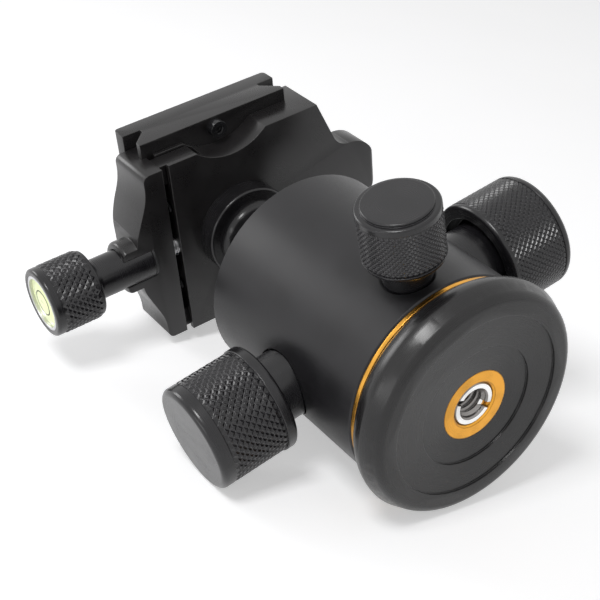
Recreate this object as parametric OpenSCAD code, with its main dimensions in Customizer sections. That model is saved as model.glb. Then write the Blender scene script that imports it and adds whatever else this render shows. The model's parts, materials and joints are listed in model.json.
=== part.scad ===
// Tripod ball head with a dovetail quick-release clamp and its camera plate.
// +Z is up and the origin is the centre of the base underside. The main lock
// knob is on -X, the pan lock on -Y and the friction knob near +X. The head
// is drawn level, with every knob tight and the plate clamped.

/* [Base] */
// Largest radius of the base disc
base_r = 25.25; // [24.8:0.05:27]
// Height of the base disc
base_h = 8.6; // [8:0.1:9.4]
// Radius of the rounding on the upper edge of the base
base_edge_r = 5.6; // [5.2:0.1:5.8]
// Height of the widest part of the base above the floor
base_belly_z = 3.86; // [3.6:0.02:4.2]
// Outer radius of the flat foot ring
foot_r = 23.7; // [23:0.1:24.2]
// Outer radius of the first step in the underside
outer_step_r = 19.64; // [17:0.1:21]
// Outer radius of the second step in the underside
inner_step_r = 13.15; // [11:0.1:15]
// Depth of each step in the underside
step_depth = 0.5; // [0.3:0.1:0.8]
// Radius of the pan hub that stands on the base
hub_r = 12; // [11.5:0.1:12.5]

/* [Tripod thread] */
// Radius of the bush flange seen in the underside
bush_flange_r = 7.6; // [7.2:0.1:8]
// Thickness of the bush flange
bush_flange_h = 1.2; // [0.8:0.1:1.6]
// Outer radius of the bush sleeve
bush_r = 6.2; // [5.8:0.1:6.6]
// Length of the bush sleeve
bush_len = 10.2; // [8:0.1:11]
// Outer radius of the thread reducer
reducer_r = 4.7; // [4.5:0.05:4.9]
// Length of the thread reducer
reducer_len = 9.3; // [7:0.1:10]
// Radius of the tripod screw hole
tripod_hole_r = 2.55; // [2.4:0.05:3.2]
// Width of the driver slot in the reducer
driver_slot_w = 1.2; // [0.8:0.1:1.6]
// Depth of the driver slot
driver_slot_depth = 1.2; // [0.8:0.1:1.6]
// Direction of the driver slot
driver_slot_azimuth = 38; // [0:1:179]

/* [Pan bearing] */
// Height of the coloured ring under the housing
pan_ring_h = 1; // [0.8:0.1:1.4]
// Height of the pan carrier
carrier_h = 11.6; // [11:0.1:13]
// Thickness of the washer over the carrier
top_washer_h = 0.8; // [0.6:0.1:1]
// Thickness of the retaining ring
retainer_h = 2.5; // [2.3:0.1:3.2]
// Radius of the retaining ring
retainer_r = 14.5; // [14.3:0.1:15]
// Radius of the circle of retaining screws
retaining_pitch_r = 9; // [8.6:0.1:9.2]
// Radius of a retaining screw
retaining_screw_r = 1.5; // [1.25:0.25:1.5]
// Depth of the retaining screws in the hub
retaining_depth = 6.5; // [5:0.5:7.5]
// Width of the washer under the carrier
pan_washer_w = 4.2; // [3.5:0.1:4.8]

/* [Housing and ball] */
// Radius of the ball
ball_r = 18; // [17.5:0.1:19]
// Thickness of the housing wall
housing_wall = 4.05; // [3.8:0.05:4.6]
// Space round the ball inside the housing
chamber_gap = 1.05; // [1:0.05:1.3]
// Height of the rim above the centre of the ball
rim_rise = 10.3; // [9.8:0.1:10.6]
// Thickness of the lip over the seat ring
lip_h = 2.1; // [1.8:0.1:2.4]
// Radius of the opening in the rim
opening_r = 15.6; // [15.5:0.05:16]
// Half the width of the portrait notch
notch_r = 7.8; // [7.6:0.1:8.4]
// Height of the upper seat ring
seat_ring_h = 4.6; // [4:0.1:5.2]
// Height of the ball cup
cup_h = 3.2; // [2.6:0.1:3.3]
// Height of the ring that pushes the cup
pusher_h = 7.1; // [6.9:0.1:7.2]
// Radius of the wire of the preload spring
preload_wire_r = 0.5; // [0.4:0.05:0.6]
// Number of turns of the preload spring
preload_turns = 3; // [2:1:4]

/* [Stem] */
// Radius of the stem neck
neck_r = 7; // [6.5:0.1:7.2]
// Length of the neck from the top of the ball to the flange
neck_len = 12.2; // [11.5:0.1:14]
// Radius of the stem flange
flange_r = 11; // [10:0.1:12]
// Thickness of the stem flange
flange_h = 4.7; // [4:0.1:5.5]
// Radius of the fillet under the flange
flange_fillet_r = 2; // [1:0.1:2.5]

/* [Main lock knob] */
// Direction of the main lock knob
lock_azimuth = 180; // [170:1:190]
// Drop of the lock axis below the centre of the ball
lock_drop = 14.8; // [14.6:0.1:15]
// Radius of the collar between housing and knob
lock_collar_r = 7.2; // [6.8:0.1:8]
// Reach of the collar beyond the housing wall
lock_collar_reach = 4.2; // [3.6:0.1:5]
// Radius of the lock knob over its knurl
lock_knob_r = 11.15; // [10.8:0.05:12]
// Radius of the plain ring behind the knurl
lock_ring_r = 11.4; // [11:0.1:12]
// Length of the plain ring behind the knurl
lock_ring_len = 2.4; // [2:0.1:3]
// Length of the knurled band
lock_knurl_len = 12; // [10:0.5:14]
// Length of the plain nose of the knob
lock_nose_len = 3; // [2.5:0.1:3.5]
// Rounding of the nose
lock_nose_round = 1.2; // [0.8:0.1:1.8]
// Radius of the lock screw
lock_screw_r = 4; // [3.5:0.25:4.5]

/* [Friction knob] */
// Direction of the friction knob
friction_azimuth = 2; // [-5:1:8]
// Drop of the friction axis below the centre of the ball
friction_drop = 13.5; // [13.4:0.1:13.6]
// Radius of the boss that the knob's skirt covers
friction_boss_r = 8.3; // [7.6:0.1:8.6]
// Reach of the boss beyond the housing wall
friction_boss_reach = 7.9; // [7.4:0.1:8.4]
// Distance from the housing wall to the skirt
friction_skirt_gap = 5.75; // [5.2:0.05:6.2]
// Radius of the friction knob over its knurl
friction_knob_r = 12.94; // [12.4:0.02:13.6]
// Inner radius of the skirt
friction_skirt_r = 10; // [9.6:0.1:10.6]
// Length of the lip at the open end of the skirt
friction_lip_len = 1.55; // [1.2:0.05:2]
// Length of the knurled band
friction_knurl_len = 12.6; // [10:0.1:14]
// Length of the rounded nose
friction_nose_len = 1.9; // [1.6:0.1:2.4]
// Radius of the friction screw
friction_screw_r = 3; // [2.5:0.25:3.5]

/* [Pan knob] */
// Direction of the pan knob
pan_azimuth = 270; // [260:1:280]
// Height of the pan axis above the bottom of the housing
pan_rise = 7.4; // [7:0.1:7.8]
// Radius of the pan collar
pan_collar_r = 5; // [4.8:0.1:5.6]
// Reach of the pan collar beyond the housing wall
pan_collar_reach = 4; // [3.4:0.1:4.6]
// Radius of the pan knob over its knurl
pan_knob_r = 8.05; // [7.6:0.05:8.6]
// Length of the rounded base of the pan knob
pan_foot_len = 1.4; // [1:0.1:1.8]
// Length of the knurled band
pan_knurl_len = 9.4; // [8:0.2:11]
// Length of the plain cap
pan_cap_len = 2.1; // [1.8:0.1:2.6]
// Radius of the flat top
pan_top_r = 6.86; // [6.4:0.02:7.2]
// Radius of the pan screw
pan_screw_r = 3; // [2.5:0.25:3]

/* [Clamp] */
// Turn of the clamp about the stem
clamp_turn = 6.5; // [-45:0.5:45]
// Length of the jaws
jaw_len = 44.8; // [44:0.2:48]
// Height of the jaws
jaw_h = 12.5; // [12.3:0.1:13]
// Height of the deck that the plate rests on
deck_h = 6.8; // [6.6:0.1:7.2]
// Distance of the fixed jaw's parting face from the stem axis
parting_u = 16.2; // [15.8:0.1:16.6]
// Gap between the jaws when the plate is clamped
jaw_gap = 1.7; // [1.4:0.1:2]
// Distance of the fixed jaw's back from the stem axis
fixed_back_u = 28.5; // [28:0.1:29]
// Distance of the tip of the lobe from the stem axis
lobe_tip_u = 38.8; // [37:0.1:41]
// Half the width of the lobe
lobe_half_w = 9; // [8.4:0.1:9.6]
// Height of the lobe
lobe_h = 7; // [6:0.1:7.5]
// Corner radius of the lobe seen from above
lobe_corner_r = 7.2; // [6:0.1:7.8]
// Distance of the moving jaw's back from the stem axis, at the screw
moving_back_u = 27; // [26.6:0.1:28]
// Distance of its flanks from the stem axis
moving_flank_u = 22.7; // [22.2:0.1:23.6]
// Half the width of the swell about the screw
swell_half_w = 6.2; // [5.6:0.1:7.4]
// Half the width over which the swell runs out
swell_run_half_w = 16.6; // [14:0.2:18]
// Rounding of the upper outer edges of the jaws
jaw_round = 3; // [2:0.1:3.6]
// Width of the scoop in each end of the fixed jaw
scoop_w = 18; // [15:0.5:20]
// Room between a stop screw and the bottom of its scoop
stop_play = 1.9; // [1.7:0.1:2.2]
// Length of the guide tongues
tongue_len = 9.3; // [8.5:0.1:9.8]
// Height of the guide tongues
tongue_h = 4; // [3.4:0.1:4.2]
// Width of the guide tongues
tongue_w = 4.8; // [4:0.1:5.2]

/* [Clamp knob] */
// Height of the clamp screw above the clamp's underside
clamp_axis_h = 3.25; // [3.2:0.05:3.4]
// Radius of the clamp screw
clamp_screw_r = 2.5; // [2.25:0.25:2.5]
// Radius of the knob's neck
clamp_neck_r = 4.65; // [4.4:0.05:4.8]
// Length of the neck
clamp_neck_len = 14.4; // [13.6:0.1:15.4]
// Radius of the clamp knob over its knurl
clamp_knob_r = 8; // [7.7:0.05:8.6]
// Length of the knurled band
clamp_knurl_len = 8.8; // [8:0.1:10]
// Length of the rounded nose
clamp_nose_len = 2; // [1.6:0.1:2.4]
// Radius of the boss on the moving jaw
jaw_boss_r = 6.2; // [6:0.1:6.6]
// Radius of the level window
level_r = 5.75; // [5.2:0.05:5.9]
// Depth of the level
level_depth = 3.6; // [3:0.1:4.2]

/* [Camera plate] */
// Length of the plate
plate_len = 51; // [50.6:0.2:56]
// Width of the plate's slab
plate_w = 40; // [39:0.5:46]
// Thickness of the slab
slab_h = 4; // [3.6:0.1:5]
// Width of the dovetail at its foot
dovetail_w = 38; // [37.8:0.1:38.2]
// Height of the upright land at the foot of the dovetail
dovetail_land = 1.5; // [1.3:0.1:1.6]
// Height of the 45 degree flank
dovetail_rise = 3.5; // [3.3:0.1:3.6]
// Radius of the camera screw over its thread
camera_screw_r = 3.175; // [3.1:0.025:3.3]
// Radius of its neck inside the plate
camera_neck_r = 2.8; // [2.6:0.05:2.9]
// Length of the camera screw above the pads
camera_screw_reach = 5; // [4:0.1:6]
// Radius of the head of the camera screw
camera_head_r = 7; // [6.4:0.1:7.6]
// Width of a rubber pad
pad_w = 30; // [24:1:34]
// Length of a rubber pad
pad_len = 12; // [9:0.5:13]
// Height of the pads above the slab
pad_proud = 0.4; // [0.3:0.1:0.7]

/* [Fits] */
// Radial clearance of a running screw or bearing
run = 0.05; // [0.03:0.01:0.08]
// Clearance between pieces fixed to each other
fixed_gap = 0.02; // [0.01:0.01:0.03]
// Clearance between pieces that pass each other
pass_gap = 0.3; // [0.25:0.05:0.35]
// Clearance between the ball and its seats
seat_gap = 0.1; // [0.06:0.01:0.1]
// Depth of the knurling
knurl_depth = 0.25; // [0.15:0.05:0.35]

/* [Hidden] */
$fn = 96;
far = 200;
eps = 0.01;

// Colours of the finishes
anodised_black = [0.07, 0.07, 0.075];
anodised_orange = [0.93, 0.38, 0.08];
bare_steel = [0.72, 0.72, 0.74];
bare_alloy = [0.66, 0.67, 0.7];
slide_plastic = [0.9, 0.9, 0.86];
pad_rubber = [0.12, 0.12, 0.12];

// Levels of the pan bearing, from the floor up
bush_z = 2 * step_depth;
pan_ring_z = base_h;
housing_z = pan_ring_z + pan_ring_h + seat_gap;
carrier_setback = 0.2;
carrier_z = housing_z + carrier_setback;
carrier_top = carrier_z + carrier_h;
hub_top = carrier_top + seat_gap + top_washer_h;
retainer_top = hub_top + retainer_h;
retainer_bore_r = 4;
retaining_head_r = 2 * retaining_screw_r - 0.2;
retaining_head_h = 1.4;
retaining_sink = 0.18;
tap_spare = 0.5;
ring_gap = 0.2;

// Levels of the ball and what holds it
ball_floor_gap = 4.1;
ball_z = retainer_top + ball_floor_gap + ball_r;
chamber_r = ball_r + chamber_gap;
housing_r = chamber_r + housing_wall;
rim_z = ball_z + rim_rise;
lip_z = rim_z - lip_h;
seat_ring_z = lip_z - seat_gap - seat_ring_h;
pusher_z = ball_z - ball_r - seat_gap;
pusher_top = pusher_z + pusher_h;
pusher_travel_gap = 0.35;
cup_z = pusher_top + seat_gap;
pusher_bore_step = 3.8;
pusher_side_gap = 0.35;
cup_side_gap = 0.45;
pusher_bore_r = ball_r - pusher_bore_step;
pusher_r = chamber_r - pusher_side_gap;
cup_r = chamber_r - cup_side_gap;
seat_r = ball_r + seat_gap;
pan_ring_r = housing_r - ring_gap;

// Levels of the stem and clamp
flange_z = ball_z + ball_r + neck_len;
clamp_z = flange_z + flange_h;

// Axis heights of the knobs
lock_z = ball_z - lock_drop;
friction_z = ball_z - friction_drop;
pan_z = housing_z + pan_rise;

// Where the spot faces for the collars lie, out from the main axis
spot_margin = 0.3;
spot_depth = 0.15;
lock_seat_d = seat_distance(lock_collar_r + spot_margin);
friction_seat_d = seat_distance(friction_boss_r + spot_margin);
pan_seat_d = seat_distance(pan_collar_r + spot_margin);
lock_collar_d = housing_r + lock_collar_reach;
friction_boss_d = housing_r + friction_boss_reach;
pan_collar_d = housing_r + pan_collar_reach;

// Screws start inside the collars, just behind their tips
tip_stand = 0.95;
lock_tip_d = chamber_r + tip_stand;
friction_tip_d = chamber_r + tip_stand;
pan_tip_d = chamber_r - 1;
screw_in_knob = 12.4;
small_screw_in_knob = 9.4;
knob_bore_spare = 0.2;
lock_knob_d = lock_collar_d + pass_gap;
friction_knob_d = housing_r + friction_skirt_gap;
friction_hub_d = friction_boss_d + pass_gap;
pan_knob_d = pan_collar_d + pass_gap;
collar_spigot_wall = 2;

// Cone tips
cone_len = 2.8;
cone_base_len = 1.6;
lock_cone_r = 2.1;
friction_cone_r = 1.8;
cone_end_r = 0.5;
cone_gap = 0.45;
pan_tip_r = 1.8;
pan_tip_gap = 0.4;
pan_groove_depth = 0.8;

// Clamp details
jaw_half = jaw_len / 2;
knob_step_len = 1.1;
level_wall = 0.7;
level_sink = 0.3;
knob_floor = 2.2;
lip_gap = 0.05;
foot_u = dovetail_w / 2 + lip_gap;
land_h = deck_h + dovetail_land;

// The lips reach in to the plate's neck, or until their edges are this thin
lip_edge_h = 0.9;
lip_neck_gap = 0.25;
lip_u = max(
    dovetail_w / 2 - dovetail_rise + lip_neck_gap,
    foot_u - (jaw_h - lip_edge_h - land_h)
);
lip_under_h = land_h + foot_u - lip_u;
moving_face_u = parting_u + jaw_gap;
washer_u = 23;
washer_h = 0.5;
neck_start_u = washer_u + washer_h + 0.1;
knob_head_u = neck_start_u + clamp_neck_len;
knob_end_u = knob_head_u + knob_step_len + clamp_knurl_len + clamp_nose_len;
level_pocket_u = knob_end_u - level_depth - level_sink;
level_base_u = level_pocket_u + fixed_gap;
level_top_u = level_base_u + level_depth;
screw_far_u = level_pocket_u - knob_floor;
jaw_boss_len = 3.5;
jaw_boss_u = moving_back_u + jaw_boss_len;
screw_end_u = 6.4;
screw_end_spare = 0.4;
level_dome_r = 30;
bubble_r = 1.4;
bubble_under = 1.8;
tongue_v = jaw_half - 0.5 - tongue_w / 2;
tongue_z = 1.6;
tongue_root = 1;
tongue_slot_spare = 1.4;
tongue_slot_open = 5;
flank_draw = 5.3;
waist_setout = 0.2;
waist_r = 5;
spring_v = 10.5;
spring_hole_r = 1.9;
spring_hole_depth = 3;
spring_wire_r = 0.25;
spring_turns = 6;
stem_screw_r = 3;
stem_screw_reach = 11.5;
stem_head_r = 5.8;
stem_head_h = 3;

// Plate details
plate_z = deck_h + lip_gap;
slab_z = jaw_h + pass_gap;
slab_top = slab_z + slab_h;
plate_neck_w = dovetail_w - 2 * dovetail_rise;
pad_depth = 0.8;
pad_v = 15;
pad_top = slab_top + pad_proud;
camera_pocket_h = 3.6;
camera_head_h = 2;
camera_head_gap = 0.6;
clip_r = 4.8;
clip_h = 0.6;
clip_groove_r = 2.3;
clip_pocket_h = 1.1;
clip_z = slab_top - clip_pocket_h + seat_gap;
stop_inset = 2.6;
stop_v = plate_len / 2 - stop_inset;
stop_head_r = 2;
stop_head_h = 1.95;
stop_socket_r = 1;
stop_shank_r = 1.25;
stop_depth = 5;

// The scoops in the fixed jaw let the stop screws past its ends
scoop_depth = jaw_half - (stop_v - stop_head_r - stop_play);
scoop_r = (scoop_w * scoop_w / 4 + scoop_depth * scoop_depth) / (2 * scoop_depth);

// ---------- helpers ----------

function unit(v) = v / norm(v);

// Distance from the main axis to a flat of radius r that just cuts the housing all round
function seat_distance(r) = sqrt(housing_r * housing_r - r * r) - spot_depth;

// Places something with its own +Z pointing out of the housing
module outward(azimuth, z) {
    rotate([0, 0, azimuth])
        translate([0, 0, z])
            rotate([0, 90, 0])
                children();
}

// Places something in the clamp's frame: X across the jaws, Y along them
module in_clamp() {
    translate([0, 0, clamp_z])
        rotate([0, 0, clamp_turn])
            children();
}

// Places something with its own +Z along the clamp screw, away from the stem
module along_clamp_screw() {
    in_clamp()
        translate([0, 0, clamp_axis_h])
            rotate([0, -90, 0])
                children();
}

// A plain ring
module ring(z, h, outer, inner) {
    translate([0, 0, z])
        difference() {
            cylinder(h = h, r = outer);
            translate([0, 0, -eps])
                cylinder(h = h + 2 * eps, r = inner);
        }
}

// Half section of a turned bar from d0 to d1 with rounded ends
module bar_section(d0, d1, r, round0, round1) {
    difference() {
        translate([0, d0])
            square([r, d1 - d0]);
        translate([r, d0])
            corner_cut(round0, 1);
        translate([r, d1])
            corner_cut(round1, -1);
    }
}

// What a rounding takes off the outer corner of a half section
module corner_cut(round_r, side) {
    if (round_r > 0)
        difference() {
            translate([-round_r, side > 0 ? -1 : -round_r])
                square([round_r + 1, round_r + 1]);
            translate([-round_r, side * round_r])
                circle(r = round_r);
        }
}

// Half the angle at a corner between the ways to two other points
function half_angle(corner, toward_a, toward_b) =
    acos(unit(toward_a - corner) * unit(toward_b - corner)) / 2;

// Centre of the round that fills an inner corner
function fillet_centre(corner, toward_a, toward_b, r) =
    corner + unit(unit(toward_a - corner) + unit(toward_b - corner)) * r
        / sin(half_angle(corner, toward_a, toward_b));

// Where that round meets the edge that goes towards the first point
function fillet_end(corner, toward_a, toward_b, r) =
    corner + unit(toward_a - corner) * r / tan(half_angle(corner, toward_a, toward_b));

// Fills the inner corner between two straight edges with a hollow round
module inner_fillet(corner, toward_a, toward_b, r) {
    centre = fillet_centre(corner, toward_a, toward_b, r);
    root = unit(centre - corner) * 0.5;
    difference() {
        polygon([
            corner - root, fillet_end(corner, toward_a, toward_b, r), centre,
            fillet_end(corner, toward_b, toward_a, r)
        ]);
        translate(centre)
            circle(r = r);
    }
}

// Draws something and its mirror image across the clamp's middle
module both_ends() {
    children();
    mirror([0, 1, 0])
        children();
}

// A wire wound about Z from z0 to z1
module coil(mean_r, wire_r, z0, z1, turns, steps) {
    sides = 6;
    count = turns * steps;
    rise = (z1 - z0 - 2 * wire_r) / count;
    points = [
        for (i = [0 : count])
            for (k = [0 : sides - 1])
                let (
                    a = 360 * i / steps,
                    b = 360 * k / sides,
                    r = mean_r + wire_r * cos(b)
                )
                [r * cos(a), r * sin(a), z0 + wire_r + rise * i + wire_r * sin(b)]
    ];
    sides_faces = [
        for (i = [0 : count - 1])
            for (k = [0 : sides - 1])
                for (half = [0, 1])
                    let (
                        n = (k + 1) % sides,
                        p = i * sides,
                        q = p + sides
                    )
                    half == 0 ? [p + k, p + n, q + k] : [p + n, q + n, q + k]
    ];
    last = count * sides;
    end_faces = [
        for (k = [1 : sides - 2])
            for (end = [0, 1])
                end == 0 ? [0, k + 1, k] : [last, last + k, last + k + 1]
    ];
    polyhedron(points = points, faces = concat(sides_faces, end_faces), convexity = 10);
}

// ---------- base ----------

module base_disc() {
    edge_centre = [base_r - base_edge_r, base_belly_z];
    color(anodised_black)
        difference() {
            union() {
                rotate_extrude()
                    base_section(edge_centre);
                translate([0, 0, base_h - 1])
                    cylinder(h = hub_top - base_h + 1, r = hub_r);
            }
            translate([0, 0, -1])
                cylinder(h = 1 + step_depth, r = outer_step_r);
            translate([0, 0, -1])
                cylinder(h = 1 + bush_z, r = inner_step_r);
            translate([0, 0, bush_z - eps])
                cylinder(h = bush_flange_h + fixed_gap + eps, r = bush_flange_r + fixed_gap);
            cylinder(h = bush_z + bush_flange_h + bush_len + fixed_gap, r = bush_r + fixed_gap);
            ring(
                pan_z - pan_tip_r - pan_tip_gap, 2 * (pan_tip_r + pan_tip_gap),
                hub_r + 1, hub_r - pan_groove_depth
            );
            retaining_positions()
                translate([0, 0, hub_top - retaining_depth - tap_spare])
                    cylinder(h = far, r = retaining_screw_r + fixed_gap);
        }
}

// Half section of the base: a flat foot, a belly and a rounded shoulder
module base_section(edge_centre) {
    belly = [base_r, base_belly_z];
    union() {
        polygon([[0, 0], [foot_r, 0], belly, [edge_centre[0], base_h], [0, base_h]]);
        intersection() {
            translate(edge_centre)
                circle(r = base_edge_r);
            translate([edge_centre[0] - base_edge_r, base_belly_z])
                square([2 * base_edge_r, base_h - base_belly_z]);
        }
    }
}

module base_bush() {
    color(anodised_orange)
        difference() {
            union() {
                translate([0, 0, bush_z])
                    cylinder(h = bush_flange_h, r = bush_flange_r);
                translate([0, 0, bush_z])
                    cylinder(h = bush_flange_h + bush_len, r = bush_r);
            }
            translate([0, 0, -1])
                cylinder(h = 1 + bush_z + reducer_len + 0.5, r = reducer_r + run);
            translate([0, 0, bush_z])
                rotate_extrude()
                    polygon([[0, -eps], [reducer_r + 0.45, -eps], [reducer_r, 0.45], [0, 0.45]]);
        }
}

module thread_reducer() {
    reducer_z = bush_z + 0.2;
    color(bare_steel)
        difference() {
            translate([0, 0, reducer_z])
                cylinder(h = reducer_len, r = reducer_r);
            translate([0, 0, reducer_z - 1])
                cylinder(h = reducer_len + 2, r = tripod_hole_r);
            rotate([0, 0, driver_slot_azimuth])
                translate([-reducer_r - 1, -driver_slot_w / 2, reducer_z - 1])
                    cube([2 * reducer_r + 2, driver_slot_w, 1 + driver_slot_depth]);
        }
}

module pan_ring() {
    color(anodised_orange)
        ring(pan_ring_z, pan_ring_h, pan_ring_r, hub_r + pan_washer_w + ring_gap);
}

module pan_washer() {
    color(slide_plastic)
        ring(
            pan_ring_z, carrier_z - pan_ring_z - run, hub_r + pan_washer_w, hub_r + 2 * run
        );
}

module top_washer() {
    color(slide_plastic)
        ring(carrier_top + run, top_washer_h, retainer_r - seat_gap, hub_r + 2 * run);
}

module retaining_positions() {
    for (a = [90, 210, 330])
        rotate([0, 0, a])
            translate([retaining_pitch_r, 0, 0])
                children();
}

module retaining_ring() {
    color(bare_steel)
        difference() {
            ring(hub_top, retainer_h, retainer_r, retainer_bore_r);
            retaining_positions()
                translate([0, 0, hub_top - 1])
                    cylinder(h = retainer_h + 2, r = retaining_screw_r + fixed_gap);
            retaining_positions()
                translate([0, 0, retainer_top - retaining_head_h - retaining_sink - fixed_gap])
                    cylinder(h = far, r = retaining_head_r + fixed_gap);
        }
}

module retaining_screws() {
    head_top = retainer_top - retaining_sink;
    socket_depth = 0.9;
    color(bare_steel)
        retaining_positions()
            difference() {
                union() {
                    translate([0, 0, hub_top - retaining_depth])
                        cylinder(h = head_top - hub_top + retaining_depth, r = retaining_screw_r);
                    translate([0, 0, head_top - retaining_head_h])
                        cylinder(h = retaining_head_h, r = retaining_head_r);
                }
                translate([0, 0, head_top - socket_depth])
                    cylinder(h = far, r = retaining_screw_r * 0.6, $fn = 6);
            }
}

// ---------- housing ----------

module housing() {
    rim_chamfer = 0.3;
    color(anodised_black)
        difference() {
            rotate_extrude()
                housing_section(rim_chamfer);
            portrait_notch(0);
            collar_hole(lock_azimuth, lock_z, lock_screw_r, lock_collar_r, lock_seat_d);
            collar_hole(friction_azimuth, friction_z, friction_screw_r, friction_boss_r, friction_seat_d);
            collar_hole(pan_azimuth, pan_z, pan_screw_r, pan_collar_r, pan_seat_d);
        }
}

// Half section of the housing wall: straight chamber, lip hollowed to the ball
module housing_section(rim_chamfer) {
    difference() {
        polygon([
            [chamber_r, housing_z],
            [housing_r - rim_chamfer, housing_z],
            [housing_r, housing_z + rim_chamfer],
            [housing_r, rim_z - rim_chamfer],
            [housing_r - rim_chamfer, rim_z],
            [opening_r, rim_z],
            [opening_r, lip_z],
            [chamber_r, lip_z]
        ]);
        translate([0, ball_z])
            circle(r = seat_r + 2 * seat_gap);
    }
}

// The slot in the wall that lets the stem down to the horizontal
module portrait_notch(extra) {
    width = notch_r + extra;
    translate([0, 0, ball_z])
        rotate([-90, 0, 0])
            linear_extrude(height = far)
                union() {
                    circle(r = width);
                    translate([-width, -far])
                        square([2 * width, far]);
                }
}

// Bore and spot face for a collar
module collar_hole(azimuth, z, screw_r, collar_r, seat_d) {
    outward(azimuth, z) {
        translate([0, 0, chamber_r - 2])
            cylinder(h = far, r = screw_r + collar_spigot_wall + fixed_gap);
        translate([0, 0, seat_d])
            cylinder(h = far, r = collar_r + spot_margin);
    }
}

module pan_carrier() {
    color(bare_alloy)
        difference() {
            ring(carrier_z, carrier_h, chamber_r - fixed_gap, hub_r + run);
            outward(pan_azimuth, pan_z)
                cylinder(h = far, r = pan_screw_r + run);
        }
}

module seat_ring() {
    color(slide_plastic)
        difference() {
            translate([0, 0, seat_ring_z])
                cylinder(h = seat_ring_h, r = chamber_r - fixed_gap);
            translate([0, 0, ball_z])
                sphere(r = seat_r);
            portrait_notch(pass_gap);
        }
}

module preload_spring() {
    mean_r = (pusher_r + pusher_bore_r) / 2 + 0.7;
    color(bare_steel)
        coil(
            mean_r, preload_wire_r, carrier_top + fixed_gap,
            pusher_z - pusher_travel_gap, preload_turns, 28
        );
}

// A screwed-in collar: spigot through the wall, flange on the spot face
module collar(azimuth, z, screw_r, outer_r, seat_d, end_d) {
    color(anodised_black)
        outward(azimuth, z)
            difference() {
                union() {
                    translate([0, 0, chamber_r + 0.1])
                        cylinder(h = end_d - chamber_r - 0.1, r = screw_r + collar_spigot_wall);
                    translate([0, 0, seat_d])
                        rotate_extrude()
                            bar_section(0, end_d - seat_d, outer_r, 0, 0.3);
                }
                translate([0, 0, chamber_r - 1])
                    cylinder(h = far, r = screw_r + run);
            }
}

module lock_collar() {
    collar(lock_azimuth, lock_z, lock_screw_r, lock_collar_r, lock_seat_d, lock_collar_d);
}

module friction_collar() {
    collar(
        friction_azimuth, friction_z, friction_screw_r, friction_boss_r,
        friction_seat_d, friction_boss_d
    );
}

module pan_collar() {
    collar(pan_azimuth, pan_z, pan_screw_r, pan_collar_r, pan_seat_d, pan_collar_d);
}

// ---------- ball, cup and what wedges the cup ----------

module cup_pusher() {
    color(bare_alloy)
        difference() {
            ring(pusher_z, pusher_h, pusher_r, pusher_bore_r);
            translate([0, 0, ball_z])
                sphere(r = seat_r + pass_gap);
            cone_socket(lock_azimuth, lock_z, lock_cone_r, lock_tip_d);
            cone_socket(friction_azimuth, friction_z, friction_cone_r, friction_tip_d);
        }
}

// Conical hollow in the pusher's side that a cone tip works in
module cone_socket(azimuth, z, cone_r, tip_d) {
    base_d = tip_d - cone_base_len;
    outward(azimuth, z)
        rotate_extrude()
            polygon([
                [0, base_d - cone_len - cone_gap],
                [cone_end_r + cone_gap, base_d - cone_len - cone_gap],
                [cone_end_r + cone_gap, base_d - cone_len],
                [cone_r + cone_gap, base_d],
                [cone_r + cone_gap, tip_d + cone_base_len],
                [0, tip_d + cone_base_len]
            ]);
}

module ball_cup() {
    color(slide_plastic)
        difference() {
            translate([0, 0, cup_z])
                cylinder(h = cup_h, r = cup_r);
            translate([0, 0, ball_z])
                sphere(r = seat_r);
        }
}

module ball() {
    color(bare_alloy)
        difference() {
            union() {
                translate([0, 0, ball_z])
                    sphere(r = ball_r);
                translate([0, 0, ball_z])
                    rotate_extrude()
                        stem_section(ball_r + neck_len);
            }
            translate([0, 0, clamp_z - stem_screw_reach - tap_spare])
                cylinder(h = far, r = stem_screw_r + fixed_gap);
        }
}

// Half section of the neck and flange, with a fillet under the flange
module stem_section(reach) {
    top = reach + flange_h;
    union() {
        polygon([[0, 0], [neck_r, 0], [neck_r, reach + eps], [0, reach + eps]]);
        translate([0, reach])
            bar_section(0, flange_h, flange_r, 0.6, 0);
        inner_fillet([neck_r, reach], [neck_r, 0], [flange_r, reach], flange_fillet_r);
    }
}

// Tip between a screw and the pusher ring
module cone_shoe(azimuth, z, cone_r, tip_d) {
    base_d = tip_d - cone_base_len;
    color(bare_steel)
        outward(azimuth, z)
            rotate_extrude()
                polygon([
                    [0, base_d - cone_len],
                    [cone_end_r, base_d - cone_len],
                    [cone_r, base_d],
                    [cone_r, tip_d],
                    [0, tip_d]
                ]);
}

module lock_shoe() {
    cone_shoe(lock_azimuth, lock_z, lock_cone_r, lock_tip_d);
}

module friction_shoe() {
    cone_shoe(friction_azimuth, friction_z, friction_cone_r, friction_tip_d);
}

module pan_shoe() {
    tip_start = hub_r - pan_groove_depth + pan_tip_gap;
    tip_len = 1.5;
    color(slide_plastic)
        outward(pan_azimuth, pan_z)
            union() {
                translate([0, 0, tip_start])
                    cylinder(h = tip_len + eps, r = pan_tip_r);
                translate([0, 0, tip_start + tip_len])
                    cylinder(h = pan_tip_d - tip_start - tip_len, r = pan_screw_r);
            }
}

// ---------- knobs ----------

// A threaded rod that turns with its knob
module knob_screw(azimuth, z, screw_r, from_d, to_d) {
    color(bare_steel)
        outward(azimuth, z)
            translate([0, 0, from_d])
                cylinder(h = to_d - from_d, r = screw_r);
}

module lock_screw() {
    knob_screw(lock_azimuth, lock_z, lock_screw_r, lock_tip_d, lock_knob_d + screw_in_knob);
}

module friction_screw() {
    knob_screw(
        friction_azimuth, friction_z, friction_screw_r, friction_tip_d,
        friction_hub_d + small_screw_in_knob
    );
}

module pan_screw() {
    knob_screw(
        pan_azimuth, pan_z, pan_screw_r, pan_tip_d, pan_knob_d + small_screw_in_knob
    );
}

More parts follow.
